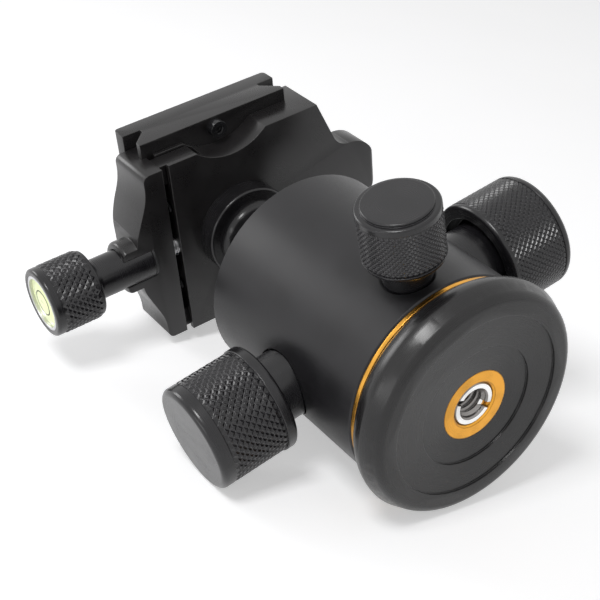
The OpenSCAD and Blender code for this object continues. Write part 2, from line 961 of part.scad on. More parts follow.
module lock_knob() {
    knurl_d = lock_knob_d + lock_ring_len;
    nose_d = knurl_d + lock_knurl_len;
    end_d = nose_d + lock_nose_len;
    color(anodised_black)
        outward(lock_azimuth, lock_z)
            difference() {
                rotate_extrude()
                    union() {
                        bar_section(lock_knob_d, knurl_d, lock_ring_r, 0.8, 0.2);
                        bar_section(knurl_d - 0.5, nose_d + 0.5, lock_knob_r - knurl_depth, 0, 0);
                        bar_section(nose_d, end_d, lock_knob_r, 0.2, lock_nose_round);
                    }
                translate([0, 0, lock_knob_d - 1])
                    cylinder(
                        h = 1 + screw_in_knob + knob_bore_spare,
                        r = lock_screw_r + fixed_gap
                    );
            }
}

module friction_knob() {
    knurl_d = friction_knob_d + friction_lip_len;
    nose_d = knurl_d + friction_knurl_len;
    end_d = nose_d + friction_nose_len;
    skirt_floor_len = 4;
    skirt_floor_d = friction_hub_d + skirt_floor_len;
    mouth_len = 2.4;
    skirt_step = 1;
    hub_wall = 2.5;
    groove = 0.35;
    color(anodised_black)
        outward(friction_azimuth, friction_z)
            difference() {
                union() {
                    difference() {
                        rotate_extrude()
                            union() {
                                bar_section(friction_knob_d, knurl_d - groove, friction_knob_r, 1, 0.2);
                                bar_section(
                                    knurl_d - 1, nose_d + 0.5,
                                    friction_knob_r - knurl_depth, 0, 0
                                );
                                bar_section(nose_d, end_d, friction_knob_r, 0.2, 1.5);
                            }
                        translate([0, 0, friction_knob_d - 1])
                            cylinder(
                                h = 1 + skirt_floor_d - friction_knob_d,
                                r = friction_skirt_r - skirt_step
                            );
                        translate([0, 0, friction_knob_d - 1])
                            cylinder(h = 1 + mouth_len, r = friction_skirt_r);
                    }
                    translate([0, 0, friction_hub_d])
                        cylinder(
                            h = skirt_floor_d - friction_hub_d + 1,
                            r = friction_screw_r + hub_wall
                        );
                }
                translate([0, 0, friction_hub_d - 1])
                    cylinder(
                        h = 1 + small_screw_in_knob + knob_bore_spare,
                        r = friction_screw_r + fixed_gap
                    );
            }
}

module pan_knob() {
    knurl_d = pan_knob_d + pan_foot_len;
    cap_d = knurl_d + pan_knurl_len;
    end_d = cap_d + pan_cap_len;
    ledge = 0.6;
    color(anodised_black)
        outward(pan_azimuth, pan_z)
            difference() {
                rotate_extrude()
                    union() {
                        bar_section(pan_knob_d, knurl_d, pan_knob_r, pan_foot_len - 0.1, 0);
                        bar_section(knurl_d - 0.3, cap_d + 0.3, pan_knob_r - knurl_depth, 0, 0);
                        bar_section(cap_d, end_d - ledge, pan_knob_r, 0.1, 0.5);
                        bar_section(end_d - 2 * ledge, end_d, pan_top_r, 0, 0.3);
                    }
                translate([0, 0, pan_knob_d - 1])
                    cylinder(
                        h = 1 + small_screw_in_knob + knob_bore_spare,
                        r = pan_screw_r + fixed_gap
                    );
            }
}

// ---------- clamp ----------

// Plan of the fixed jaw: flanks that draw in to a rounded lobe
module fixed_plan() {
    shoulder = [fixed_back_u - flank_draw, jaw_half];
    waist = [fixed_back_u + waist_setout, lobe_half_w];
    lobe_end = [lobe_tip_u, lobe_half_w];
    flank_end = fillet_end(waist, shoulder, lobe_end, waist_r);
    lobe_start = fillet_end(waist, lobe_end, shoulder, waist_r);
    centre = fillet_centre(waist, shoulder, lobe_end, waist_r);
    upper = [[-parting_u, jaw_half], shoulder, flank_end, centre, lobe_start, lobe_end];
    lower = [for (i = [len(upper) - 1 : -1 : 0]) [upper[i][0], -upper[i][1]]];
    difference() {
        polygon(concat(upper, lower));
        both_ends()
            translate(centre)
                circle(r = waist_r);
        both_ends()
            translate(lobe_end)
                corner_cut(lobe_corner_r, -1);
        both_ends()
            translate([0, jaw_half + scoop_r - scoop_depth])
                circle(r = scoop_r);
    }
}

// Cross-section of the fixed jaw: deck, dovetail lip and low lobe
module fixed_section() {
    tip_round = 2.6;
    union() {
        difference() {
            polygon([
                [-parting_u, 0], [fixed_back_u, 0], [fixed_back_u, jaw_h], [lip_u, jaw_h],
                [lip_u, lip_under_h], [foot_u, land_h], [foot_u, deck_h], [-parting_u, deck_h]
            ]);
            translate([fixed_back_u, jaw_h])
                corner_cut(jaw_round, -1);
        }
        difference() {
            translate([fixed_back_u - 1, 0])
                square([lobe_tip_u - fixed_back_u + 1, lobe_h]);
            translate([lobe_tip_u, lobe_h])
                corner_cut(tip_round, -1);
            translate([lobe_tip_u, 0])
                corner_cut(1.2, 1);
        }
    }
}

// Gives a plan and a cross-section the solid that has both
module jaw_solid(height) {
    intersection() {
        linear_extrude(height = height)
            children(0);
        translate([0, far / 2, 0])
            rotate([90, 0, 0])
                linear_extrude(height = far)
                    children(1);
    }
}

module fixed_jaw() {
    color(anodised_black)
        in_clamp()
            difference() {
                jaw_solid(jaw_h) {
                    fixed_plan();
                    fixed_section();
                }
                both_ends()
                    tongue_box(pass_gap);
                both_ends()
                    spring_hole(-parting_u, 1);
                translate([screw_end_spare - screw_end_u, 0, clamp_axis_h])
                    rotate([0, -90, 0])
                        cylinder(h = far, r = clamp_screw_r + run);
                stem_screw_hole(pass_gap);
            }
}

// The guide tongue, or its slot when it is given a clearance
module tongue_box(gap) {
    start_u = -moving_face_u - tongue_root;
    reach = tongue_len + tongue_root + (gap > 0 ? tongue_slot_spare : 0);
    outer = gap > 0 ? tongue_slot_open : 0;
    translate([start_u, tongue_v - tongue_w / 2 - gap, tongue_z - gap])
        cube([reach, tongue_w + gap + outer, tongue_h + 2 * gap]);
}

module spring_hole(face_u, direction) {
    translate([face_u - direction * eps, spring_v, clamp_axis_h])
        rotate([0, 90 * direction, 0])
            cylinder(h = spring_hole_depth + eps, r = spring_hole_r);
}

// Clearance for the flat-headed screw that holds the clamp on the stem
module stem_screw_hole(gap) {
    translate([0, 0, -1])
        cylinder(h = far, r = stem_screw_r + gap);
    translate([0, 0, deck_h])
        rotate_extrude()
            polygon([
                [0, -stem_head_h - gap], [stem_screw_r + gap, -stem_head_h - gap],
                [stem_head_r + gap, -gap], [stem_head_r + gap, 1], [0, 1]
            ]);
}

module stem_screw() {
    head_top = deck_h - 0.2;
    socket_depth = 2;
    socket_r = 2.3;
    color(bare_steel)
        in_clamp()
            difference() {
                rotate_extrude()
                    polygon([
                        [0, -stem_screw_reach], [stem_screw_r, -stem_screw_reach],
                        [stem_screw_r, head_top - stem_head_h],
                        [stem_head_r, head_top - 0.2], [stem_head_r, head_top], [0, head_top]
                    ]);
                translate([0, 0, head_top - socket_depth])
                    cylinder(h = far, r = socket_r, $fn = 6);
            }
}

module jaw_springs() {
    end_gap = 0.1;
    start = parting_u - spring_hole_depth + end_gap;
    finish = moving_face_u + spring_hole_depth - end_gap;
    color(bare_steel)
        for (side = [-1, 1])
            in_clamp()
                translate([0, side * spring_v, clamp_axis_h])
                    rotate([0, -90, 0])
                        coil(1.35, spring_wire_r, start, finish, spring_turns, 10);
}

// Plan of the moving jaw: straight lip, back that swells softly to the screw boss
module moving_plan() {
    end_half = jaw_half - 0.4;
    end_round = 1.6;
    hollow_r = 14;
    swell_r = 12;
    end_corner = [-moving_flank_u, end_half];
    shoulder = [-moving_flank_u, swell_run_half_w];
    knee = [-moving_back_u, swell_half_w];
    middle = [-moving_back_u, 0];
    difference() {
        union() {
            polygon([
                [-lip_u, end_half], end_corner, shoulder, knee, [knee[0], -knee[1]],
                [shoulder[0], -shoulder[1]], [-moving_flank_u, -end_half], [-lip_u, -end_half]
            ]);
            both_ends()
                inner_fillet(shoulder, end_corner, knee, hollow_r);
        }
        both_ends()
            inner_fillet(knee, shoulder, middle, swell_r);
        both_ends()
            translate(end_corner)
                mirror([1, 0])
                    corner_cut(end_round, -1);
    }
}

module moving_section() {
    difference() {
        polygon([
            [-moving_face_u, 0], [-moving_back_u, 0], [-moving_back_u, jaw_h],
            [-lip_u, jaw_h], [-lip_u, lip_under_h], [-foot_u, land_h],
            [-foot_u, deck_h], [-moving_face_u, deck_h]
        ]);
        translate([-moving_back_u, jaw_h])
            mirror([1, 0])
                corner_cut(jaw_round, -1);
    }
}

module moving_jaw() {
    color(anodised_black)
        in_clamp()
            difference() {
                union() {
                    jaw_solid(jaw_h) {
                        moving_plan();
                        moving_section();
                    }
                    both_ends()
                        tongue_box(0);
                    jaw_boss();
                }
                translate([0, 0, clamp_axis_h])
                    rotate([0, -90, 0])
                        cylinder(h = far, r = clamp_screw_r + 2 * run);
                translate([-washer_u + 0.05, 0, clamp_axis_h])
                    rotate([0, -90, 0])
                        cylinder(h = far, r = clamp_neck_r + 2 * run);
                both_ends()
                    spring_hole(-moving_face_u, -1);
            }
}

// Round boss about the screw, flat with the underside of the jaw
module jaw_boss() {
    intersection() {
        translate([1 - moving_back_u, 0, clamp_axis_h])
            rotate([0, -90, 0])
                rotate_extrude()
                    bar_section(0, jaw_boss_u - moving_back_u + 1, jaw_boss_r, 0, 1);
        translate([-jaw_boss_u - 1, -far / 2, 0])
            cube([far, far, jaw_h]);
    }
}

module thrust_washer() {
    color(slide_plastic)
        along_clamp_screw()
            ring(washer_u, washer_h, clamp_neck_r - 0.05, clamp_screw_r + run);
}

module clamp_knob() {
    knurl_d = knob_head_u + knob_step_len;
    nose_d = knurl_d + clamp_knurl_len;
    color(anodised_black)
        along_clamp_screw()
            difference() {
                rotate_extrude()
                    union() {
                        bar_section(neck_start_u, knob_head_u + 1, clamp_neck_r, 0.2, 0);
                        inner_fillet(
                            [clamp_neck_r, knob_head_u], [clamp_neck_r, 0],
                            [clamp_knob_r, knob_head_u], 1.5
                        );
                        bar_section(knob_head_u, knurl_d, clamp_knob_r - 0.4, 0.4, 0);
                        bar_section(
                            knurl_d - 0.3, nose_d + 0.3, clamp_knob_r - knurl_depth, 0, 0
                        );
                        bar_section(nose_d, knob_end_u, clamp_knob_r - 0.1, 0.1, 0.7);
                    }
                translate([0, 0, neck_start_u - 1])
                    cylinder(
                        h = 1 + screw_far_u + tap_spare - neck_start_u,
                        r = clamp_screw_r + fixed_gap
                    );
                translate([0, 0, level_pocket_u])
                    cylinder(h = far, r = level_r + level_wall + fixed_gap);
            }
}

module clamp_screw() {
    color(bare_steel)
        along_clamp_screw()
            translate([0, 0, screw_end_u])
                cylinder(h = screw_far_u - screw_end_u, r = clamp_screw_r);
}

module level_ring() {
    rim_proud = 0.2;
    color(bare_alloy)
        along_clamp_screw()
            ring(level_base_u, level_depth + rim_proud, level_r + level_wall, level_r + fixed_gap);
}

module level_vial() {
    color([0.8, 0.85, 0.4, 0.6])
        along_clamp_screw()
            difference() {
                intersection() {
                    translate([0, 0, level_base_u])
                        cylinder(h = level_depth, r = level_r);
                    translate([0, 0, level_top_u - level_dome_r])
                        sphere(r = level_dome_r);
                }
                translate([0, 0, level_top_u - bubble_under])
                    sphere(r = bubble_r + seat_gap);
            }
}

module level_bubble() {
    color([0.95, 0.97, 0.8])
        along_clamp_screw()
            translate([0, 0, level_top_u - bubble_under])
                sphere(r = bubble_r);
}

// ---------- camera plate ----------

// Cross-section of the plate: slab over a 45 degree dovetail
module plate_section() {
    half = plate_w / 2;
    foot = dovetail_w / 2;
    neck = plate_neck_w / 2;
    land_top = land_h;
    flank_top = land_top + dovetail_rise;
    top_round = 1;
    difference() {
        polygon([
            [-foot, plate_z], [foot, plate_z], [foot, land_top], [neck, flank_top],
            [neck, slab_z], [half, slab_z], [half, slab_top], [-half, slab_top],
            [-half, slab_z], [-neck, slab_z], [-neck, flank_top], [-foot, land_top]
        ]);
        translate([half, slab_top])
            corner_cut(top_round, -1);
        mirror([1, 0])
            translate([half, slab_top])
                corner_cut(top_round, -1);
    }
}

module plate() {
    color(anodised_black)
        in_clamp()
            difference() {
                translate([0, plate_len / 2, 0])
                    rotate([90, 0, 0])
                        linear_extrude(height = plate_len)
                            plate_section();
                translate([0, 0, plate_z - 1])
                    cylinder(h = 1 + camera_pocket_h, r = camera_head_r + camera_head_gap);
                translate([0, 0, plate_z])
                    cylinder(h = far, r = camera_screw_r + 4 * run);
                translate([0, 0, slab_top - clip_pocket_h])
                    cylinder(h = far, r = clip_r + pass_gap);
                both_ends()
                    translate([-pad_w / 2 - 0.1, pad_v - pad_len / 2 - 0.1, slab_top - pad_depth])
                        cube([pad_w + 0.2, pad_len + 0.2, far]);
                both_ends()
                    translate([0, stop_v, plate_z - 1])
                        cylinder(h = 1 + stop_depth + 0.2, r = stop_shank_r + fixed_gap);
            }
}

module plate_pads() {
    color(pad_rubber)
        in_clamp()
            both_ends()
                translate([-pad_w / 2, pad_v - pad_len / 2, slab_top - pad_depth])
                    cube([pad_w, pad_len, pad_depth + pad_proud]);
}

module stop_screws() {
    color(bare_steel)
        in_clamp()
            both_ends()
                difference() {
                    union() {
                        translate([0, stop_v, plate_z - stop_head_h])
                            cylinder(h = stop_head_h, r = stop_head_r);
                        translate([0, stop_v, plate_z - 0.5])
                            cylinder(h = stop_depth + 0.5, r = stop_shank_r);
                    }
                    translate([0, stop_v, plate_z - stop_head_h - 1])
                        cylinder(h = 1 + stop_socket_r, r = stop_socket_r, $fn = 6);
                }
}

module camera_screw() {
    head_z = plate_z + 0.2;
    slot_w = 1.6;
    slot_depth = 1;
    color(bare_steel)
        in_clamp()
            difference() {
                union() {
                    translate([0, 0, head_z])
                        cylinder(h = camera_head_h, r = camera_head_r);
                    translate([0, 0, head_z + slot_depth])
                        cylinder(h = pad_top - head_z - slot_depth + eps, r = camera_neck_r);
                    translate([0, 0, pad_top])
                        cylinder(h = camera_screw_reach, r = camera_screw_r);
                }
                translate([-far / 2, -slot_w / 2, head_z - 1])
                    cube([far, slot_w, 1 + slot_depth]);
                ring(clip_z, clip_h + 2 * run, camera_screw_r + 1, clip_groove_r);
            }
}

module screw_clip() {
    color(bare_steel)
        in_clamp()
            difference() {
                ring(clip_z + run, clip_h, clip_r, clip_groove_r + fixed_gap);
                translate([0, -clip_groove_r * 0.8, clip_z - 1])
                    cube([far, clip_groove_r * 1.6, clip_h + 2]);
            }
}

base_disc();
base_bush();
thread_reducer();
pan_ring();
pan_washer();
top_washer();
retaining_ring();
retaining_screws();
housing();
pan_carrier();
seat_ring();
preload_spring();
lock_collar();
friction_collar();
pan_collar();
cup_pusher();
ball_cup();
ball();
fixed_jaw();
stem_screw();
jaw_springs();
moving_jaw();
thrust_washer();
clamp_knob();
clamp_screw();
level_ring();
level_vial();
level_bubble();
plate();
plate_pads();
stop_screws();
camera_screw();
screw_clip();
lock_shoe();
lock_screw();
lock_knob();
friction_shoe();
friction_screw();
friction_knob();
pan_shoe();
pan_screw();
pan_knob();
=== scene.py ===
"""Studio picture of a tripod ball head that lies on its side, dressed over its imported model.

Every piece keeps the place and size that the model gives it. Lengths written in this file
are millimetres unless a name says otherwise, and meshes are made in metres.
"""

import json
import logging
import math
from dataclasses import dataclass, field
from enum import Enum
from typing import Any, Callable, Sequence

import bmesh
import bpy
from mathutils import Matrix, Vector


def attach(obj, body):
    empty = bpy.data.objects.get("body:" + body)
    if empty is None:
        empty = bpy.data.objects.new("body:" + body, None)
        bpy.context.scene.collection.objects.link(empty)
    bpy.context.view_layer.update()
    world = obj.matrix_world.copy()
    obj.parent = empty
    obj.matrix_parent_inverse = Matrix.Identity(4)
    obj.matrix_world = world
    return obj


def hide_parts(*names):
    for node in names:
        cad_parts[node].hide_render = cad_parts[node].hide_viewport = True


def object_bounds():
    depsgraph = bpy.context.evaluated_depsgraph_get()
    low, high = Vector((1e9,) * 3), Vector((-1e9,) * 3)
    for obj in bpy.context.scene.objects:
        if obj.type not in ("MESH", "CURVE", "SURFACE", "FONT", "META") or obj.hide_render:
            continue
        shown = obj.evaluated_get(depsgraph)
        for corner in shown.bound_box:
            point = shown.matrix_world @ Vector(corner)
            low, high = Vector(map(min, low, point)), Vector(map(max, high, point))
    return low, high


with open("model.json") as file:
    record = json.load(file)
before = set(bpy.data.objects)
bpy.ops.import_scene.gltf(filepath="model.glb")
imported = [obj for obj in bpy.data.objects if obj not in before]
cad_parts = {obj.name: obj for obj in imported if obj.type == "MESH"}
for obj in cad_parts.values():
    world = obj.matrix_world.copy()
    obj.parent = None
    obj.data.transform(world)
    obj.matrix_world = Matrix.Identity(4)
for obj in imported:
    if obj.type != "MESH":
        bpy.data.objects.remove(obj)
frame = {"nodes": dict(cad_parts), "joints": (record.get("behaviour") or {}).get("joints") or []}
MODEL_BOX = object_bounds()

LOG = logging.getLogger("ball_head")
MM = 0.001
FULL_TURN = 2 * math.pi

Triple = tuple[float, float, float]
Colour = Triple
Loop = list[bmesh.types.BMVert]


# ---------- where things lie ----------


@dataclass(frozen=True)
class Spindle:
    """An axis that a piece is turned about.

    Args:
        origin: Point on the axis that distances are measured from, in metres.
        axis: Direction of growing distance, of length one.
    """

    origin: Vector
    axis: Vector

    @classmethod
    def of_joint(cls, name: str) -> "Spindle":
        """Finds the axis of a hinge, measured from beside the head's main axis.

        Args:
            name: Name of the joint in the model.

        Returns:
            The spindle of that joint.
        """
        joint = next(j for j in frame["joints"] if j["name"] == name)
        axis = Vector(joint["axis"]).normalized()
        place = Vector(joint["pos_m"])
        return cls(place - axis * place.dot(axis), axis)

    def matrix(self) -> Matrix:
        """Gives the matrix from the spindle's own frame, with Z along the axis, to the model's.

        Returns:
            The matrix, in metres.
        """
        steep = 0.5
        across = Vector((0, 0, 1)) if abs(self.axis.z) < steep else Vector((0, 1, 0))
        side = across.cross(self.axis).normalized()
        turned = Matrix((side, self.axis.cross(side), self.axis)).transposed().to_4x4()
        return Matrix.Translation(self.origin) @ turned

    def section(self, node: str) -> list[tuple[float, float]]:
        """Lists how far along and how far out each corner of a node lies.

        Args:
            node: Name of a node of the model.

        Returns:
            Pairs of distance along the axis and radius, in millimetres.
        """
        back = self.matrix().inverted()
        places = [back @ v.co for v in frame["nodes"][node].data.vertices]
        return [(p.z / MM, math.hypot(p.x, p.y) / MM) for p in places]

    def span_at(self, node: str, radius: float) -> tuple[float, float]:
        """Finds the stretch over which a turned node has a certain radius.

        Args:
            node: Name of a node of the model.
            radius: Radius looked for, in millimetres.

        Returns:
            First and last distance along the axis, in millimetres.
        """
        near = 0.004
        found = [d for d, r in self.section(node) if abs(r - radius) < near]
        return min(found), max(found)


def node_span(node: str, spindle: Spindle) -> tuple[float, float]:
    """Finds how far a node reaches along a spindle.

    Args:
        node: Name of a node of the model.
        spindle: Axis to measure along.

    Returns:
        First and last distance along the axis, in millimetres.
    """
    reach = [d for d, _ in spindle.section(node)]
    return min(reach), max(reach)


# ---------- finishes ----------


class Grain(Enum):
    """How a surface was worked, which says how it breaks up the light."""

    BLASTED = "blasted"
    TURNED = "turned"
    MOULDED = "moulded"


class Sheet:
    """The nodes of one material or world, written as calls that return sockets."""

    def __init__(self, owner: bpy.types.Material | bpy.types.World) -> None:
        """Empties the owner's node tree.

        Args:
            owner: Material or world that the nodes belong to.
        """
        owner.use_nodes = True
        self.tree = owner.node_tree
        self.tree.nodes.clear()

    def node(self, kind: str, **settings: Any) -> bpy.types.Node:
        """Adds a node.

        Args:
            kind: Type of the node without the words ShaderNode.
            settings: Properties of the node.

        Returns:
            The new node.
        """
        made = self.tree.nodes.new("ShaderNode" + kind)
        for name, value in settings.items():
            setattr(made, name, value)
        return made

    def feed(self, socket: bpy.types.NodeSocket, value: Any) -> None:
        """Links a socket to another one, or sets its value.

        Args:
            socket: Input to be fed.
            value: Output socket, number, colour or vector.
        """
        if isinstance(value, bpy.types.NodeSocket):
            self.tree.links.new(value, socket)
        elif isinstance(value, tuple) and socket.type == "RGBA":
            socket.default_value = (*value, 1.0)
        else:
            socket.default_value = value

    def show(self, shader: bpy.types.Node, output: str = "OutputMaterial") -> None:
        """Links a shader to a new output node.

        Args:
            shader: Node whose first socket is shown.
            output: Type of the output node without the words ShaderNode.
        """
        self.feed(self.node(output).inputs["Surface"], shader.outputs[0])

    def place(self) -> bpy.types.NodeSocket:
        """Gives the coordinates of the piece itself, in metres."""
        return self.node("TexCoord").outputs["Object"]

    def math(self, operation: str, a: Any, b: Any = 0.0) -> bpy.types.NodeSocket:
        """Adds a calculation, kept between 0 and 1 where its name ends in an exclamation mark.

        Args:
            operation: Blender's name of the operation.
            a: First value.
            b: Second value.

        Returns:
            The result's socket.
        """
        made = self.node("Math", operation=operation.rstrip("!"), use_clamp=operation.endswith("!"))
        self.feed(made.inputs[0], a)
        self.feed(made.inputs[1], b)
        return made.outputs[0]

    def noise(self, where: Any, size: float, detail: float = 2.0) -> bpy.types.NodeSocket:
        """Adds cloudy noise.

        Args:
            where: Coordinates, in metres.
            size: Size of a cloud, in millimetres.
            detail: Number of finer layers.

        Returns:
            The value's socket, mostly from 0.3 to 0.7.
        """
        made = self.node("TexNoise", noise_dimensions="3D")
        self.feed(made.inputs["Vector"], where)
        self.feed(made.inputs["Scale"], 1 / (size * MM))
        self.feed(made.inputs["Detail"], detail)
        return made.outputs["Fac"]

    def between(self, value: Any, low: float, high: float, spread: float = 0.2) -> bpy.types.NodeSocket:
        """Stretches noise about its middle to a range.

        Args:
            value: The noise.
            low: Result where the noise is low.
            high: Result where it is high.
            spread: How far the noise strays from its middle.

        Returns:
            The result's socket.
        """
        middle = 0.5
        made = self.node("MapRange", interpolation_type="SMOOTHSTEP")
        settings = {
            "Value": value, "From Min": middle - spread, "From Max": middle + spread,
            "To Min": low, "To Max": high,
        }
        for name, setting in settings.items():
            self.feed(made.inputs[name], setting)
        return made.outputs["Result"]

    def mix(self, share: Any, first: Any, second: Any) -> bpy.types.NodeSocket:
        """Mixes two colours.

        Args:
            share: Share of the second colour.
            first: First colour.
            second: Second colour.

        Returns:
            The colour's socket.
        """
        made = self.node("Mix", data_type="RGBA", clamp_factor=True)
        self.feed(made.inputs["Factor"], share)
        self.feed(made.inputs["A"], first)
        self.feed(made.inputs["B"], second)
        return next(s for s in made.outputs if s.type == "RGBA")

    def turned_place(self, spindle: Spindle) -> bpy.types.NodeSocket:
        """Gives coordinates that are alike all round a spindle, for the marks of a lathe tool.

        Args:
            spindle: Axis that the piece was turned about.

        Returns:
            Socket with the radius and the distance along the axis.
        """
        back = spindle.matrix().inverted()
        mapping = self.node("Mapping", vector_type="POINT")
        self.feed(mapping.inputs["Vector"], self.place())
        mapping.inputs["Location"].default_value = back.to_translation()
        mapping.inputs["Rotation"].default_value = back.to_euler()
        parts = self.node("SeparateXYZ")
        self.feed(parts.inputs[0], mapping.outputs[0])
        squares = [self.math("MULTIPLY", parts.outputs[i], parts.outputs[i]) for i in (0, 1)]
        joined = self.node("CombineXYZ")
        self.feed(joined.inputs[0], self.math("SQRT", self.math("ADD", *squares)))
        self.feed(joined.inputs[1], parts.outputs[2])
        return joined.outputs[0]


@dataclass(frozen=True)
class Finish:
    """A surface finish that can be laid on any piece.

    Args:
        slot: Material slot of the record that it belongs to.
        colour: Colour of the surface, linear.
        wear_and_painted_light_colour: Colour laid on its edges, linear: wear, with painted highlights where
            it is lighter and painted shadow gaps where it is darker.
        smooth: Lowest roughness.
        rough: Highest roughness.
        metallic: Share of bare metal in the shine.
        grain: How the surface was worked.
        grain_size: Size of the grain, in millimetres.
        relief: Height of the grain, in millimetres.
        edge_round: Radius to which edges look rounded, in millimetres.
        wear_and_painted_light_share: Share of that edge colour, wear with painted light, on the edges.
        level: Level of the shine, where 0.5 is plain.
    """

    slot: str
    colour: Colour
    wear_and_painted_light_colour: Colour
    smooth: float
    rough: float
    metallic: float
    grain: Grain
    grain_size: float = 0.3
    relief: float = 0.004
    edge_round: float = 0.22
    wear_and_painted_light_share: float = 0.5
    level: float = 0.5

    def material(self, spindle: Spindle | None = None, tag: str = "") -> bpy.types.Material:
        """Makes the finish as a material.

        Args:
            spindle: Axis of the lathe marks, for a turned piece.
            tag: Ending of the material's name.

        Returns:
            The material.
        """
        grain_layers = 3.0
        cloud_grains = 30
        made = bpy.data.materials.new(self.slot + tag)
        made.diffuse_color = (*self.colour, 1.0)
        sheet = Sheet(made)
        fine = sheet.noise(self.worked_place(sheet, spindle), self.grain_size, grain_layers)
        broad = sheet.noise(sheet.place(), cloud_grains * self.grain_size)
        edge, corner = self.edges(sheet)
        patchy = sheet.math("MULTIPLY", sheet.math("ADD", fine, broad), 0.5)
        shader = sheet.node("BsdfPrincipled")
        sheet.feed(shader.inputs["Base Color"], self.shade(sheet, broad, edge))
        sheet.feed(shader.inputs["Roughness"], sheet.between(patchy, self.smooth, self.rough))
        sheet.feed(shader.inputs["Metallic"], self.metallic)
        sheet.feed(shader.inputs["Specular IOR Level"], self.level)
        sheet.feed(shader.inputs["Normal"], self.raised(sheet, fine, corner))
        sheet.show(shader)
        return made

    def shade(
        self, sheet: Sheet, broad: bpy.types.NodeSocket, edge: bpy.types.NodeSocket
    ) -> bpy.types.NodeSocket:
        """Gives the colour, a little uneven over the surface, with wear and painted light on the edges.

        Args:
            sheet: Nodes of the material.
            broad: Wide noise.
            edge: Mask that is 1 on edges.

        Returns:
            The colour's socket.
        """
        darkest = 0.84
        lightest = 1.16
        uneven = sheet.node("HueSaturation")
        sheet.feed(uneven.inputs["Value"], sheet.between(broad, darkest, lightest))
        sheet.feed(uneven.inputs["Color"], self.colour)
        # Edges take the edge colour: wear, with painted highlights or painted shadow gaps.
        share = sheet.math("MULTIPLY!", edge, self.wear_and_painted_light_share)
        return sheet.mix(share, uneven.outputs[0], self.wear_and_painted_light_colour)

    def raised(
        self, sheet: Sheet, fine: bpy.types.NodeSocket, corner: bpy.types.NodeSocket
    ) -> bpy.types.NodeSocket:
        """Raises the grain over the surface.

        Args:
            sheet: Nodes of the material.
            fine: Noise of the grain.
            corner: Normal of the surface.

        Returns:
            The new normal's socket.
        """
        bump = sheet.node("Bump")
        sheet.feed(bump.inputs["Strength"], 1.0)
        sheet.feed(bump.inputs["Distance"], self.relief * MM)
        sheet.feed(bump.inputs["Height"], fine)
        sheet.feed(bump.inputs["Normal"], corner)
        return bump.outputs[0]

    def worked_place(self, sheet: Sheet, spindle: Spindle | None) -> bpy.types.NodeSocket:
        """Gives the coordinates that the grain follows.

        Args:
            sheet: Nodes of the material.
            spindle: Axis of the lathe marks, if there is one.

        Returns:
            The coordinates' socket.
        """
        if self.grain is Grain.TURNED and spindle is not None:
            return sheet.turned_place(spindle)
        return sheet.place()

    def edges(self, sheet: Sheet) -> tuple[bpy.types.NodeSocket, bpy.types.NodeSocket]:
        """Finds the edges by how far a rounded surface would turn there.

        Args:
            sheet: Nodes of the material.

        Returns:
            Sockets of a mask that is 1 on edges and of the rounded normal.
        """
        gain = 6.0
        rounded = sheet.node("Bevel", samples=6)
        sheet.feed(rounded.inputs["Radius"], self.edge_round * MM)
        turn = sheet.node("VectorMath", operation="DOT_PRODUCT")
        sheet.feed(turn.inputs[0], rounded.outputs[0])
        sheet.feed(turn.inputs[1], sheet.node("NewGeometry").outputs["Normal"])
        mask = sheet.math("MULTIPLY!", sheet.math("SUBTRACT", 1.0, turn.outputs["Value"]), gain)
        return mask, rounded.outputs[0]


@dataclass(frozen=True)
class Fluid:
    """A clear tinted filling.

    Args:
        slot: Material slot of the record that it belongs to.
        colour: Colour that it gives to light, linear.
        clear: Share of light that passes through.
        painted_glow: Strength of the painted glow that it gives off in its own colour, though it is no
            lamp.
        roughness: Roughness of its surface.
    """

    slot: str
    colour: Colour
    clear: float
    painted_glow: float
    roughness: float = 0.05

    def material(self, spindle: Spindle | None = None, tag: str = "") -> bpy.types.Material:
        """Makes the filling as a material.

        Args:
            spindle: Not used, because a fluid has no lathe marks.
            tag: Ending of the material's name.

        Returns:
            The material.
        """
        cloud_size = 4.0
        darkest = 0.9
        refraction = 1.36
        made = bpy.data.materials.new(self.slot + tag)
        made.diffuse_color = (*self.colour, 1.0)
        sheet = Sheet(made)
        cloud = sheet.noise(sheet.place(), cloud_size)
        shader = sheet.node("BsdfPrincipled")
        darker = tuple(darkest * c for c in self.colour)
        tinted = sheet.mix(sheet.between(cloud, 0.0, 1.0), self.colour, darker)
        sheet.feed(shader.inputs["Base Color"], tinted)
        sheet.feed(shader.inputs["Roughness"], sheet.between(cloud, self.roughness, 2 * self.roughness))
        sheet.feed(shader.inputs["Transmission Weight"], self.clear)
        sheet.feed(shader.inputs["IOR"], refraction)
        # Painted glow: the filling shines in its own colour, though it is no lamp.
        sheet.feed(shader.inputs["Emission Color"], self.colour)
        sheet.feed(shader.inputs["Emission Strength"], self.painted_glow)
        sheet.show(shader)
        return made


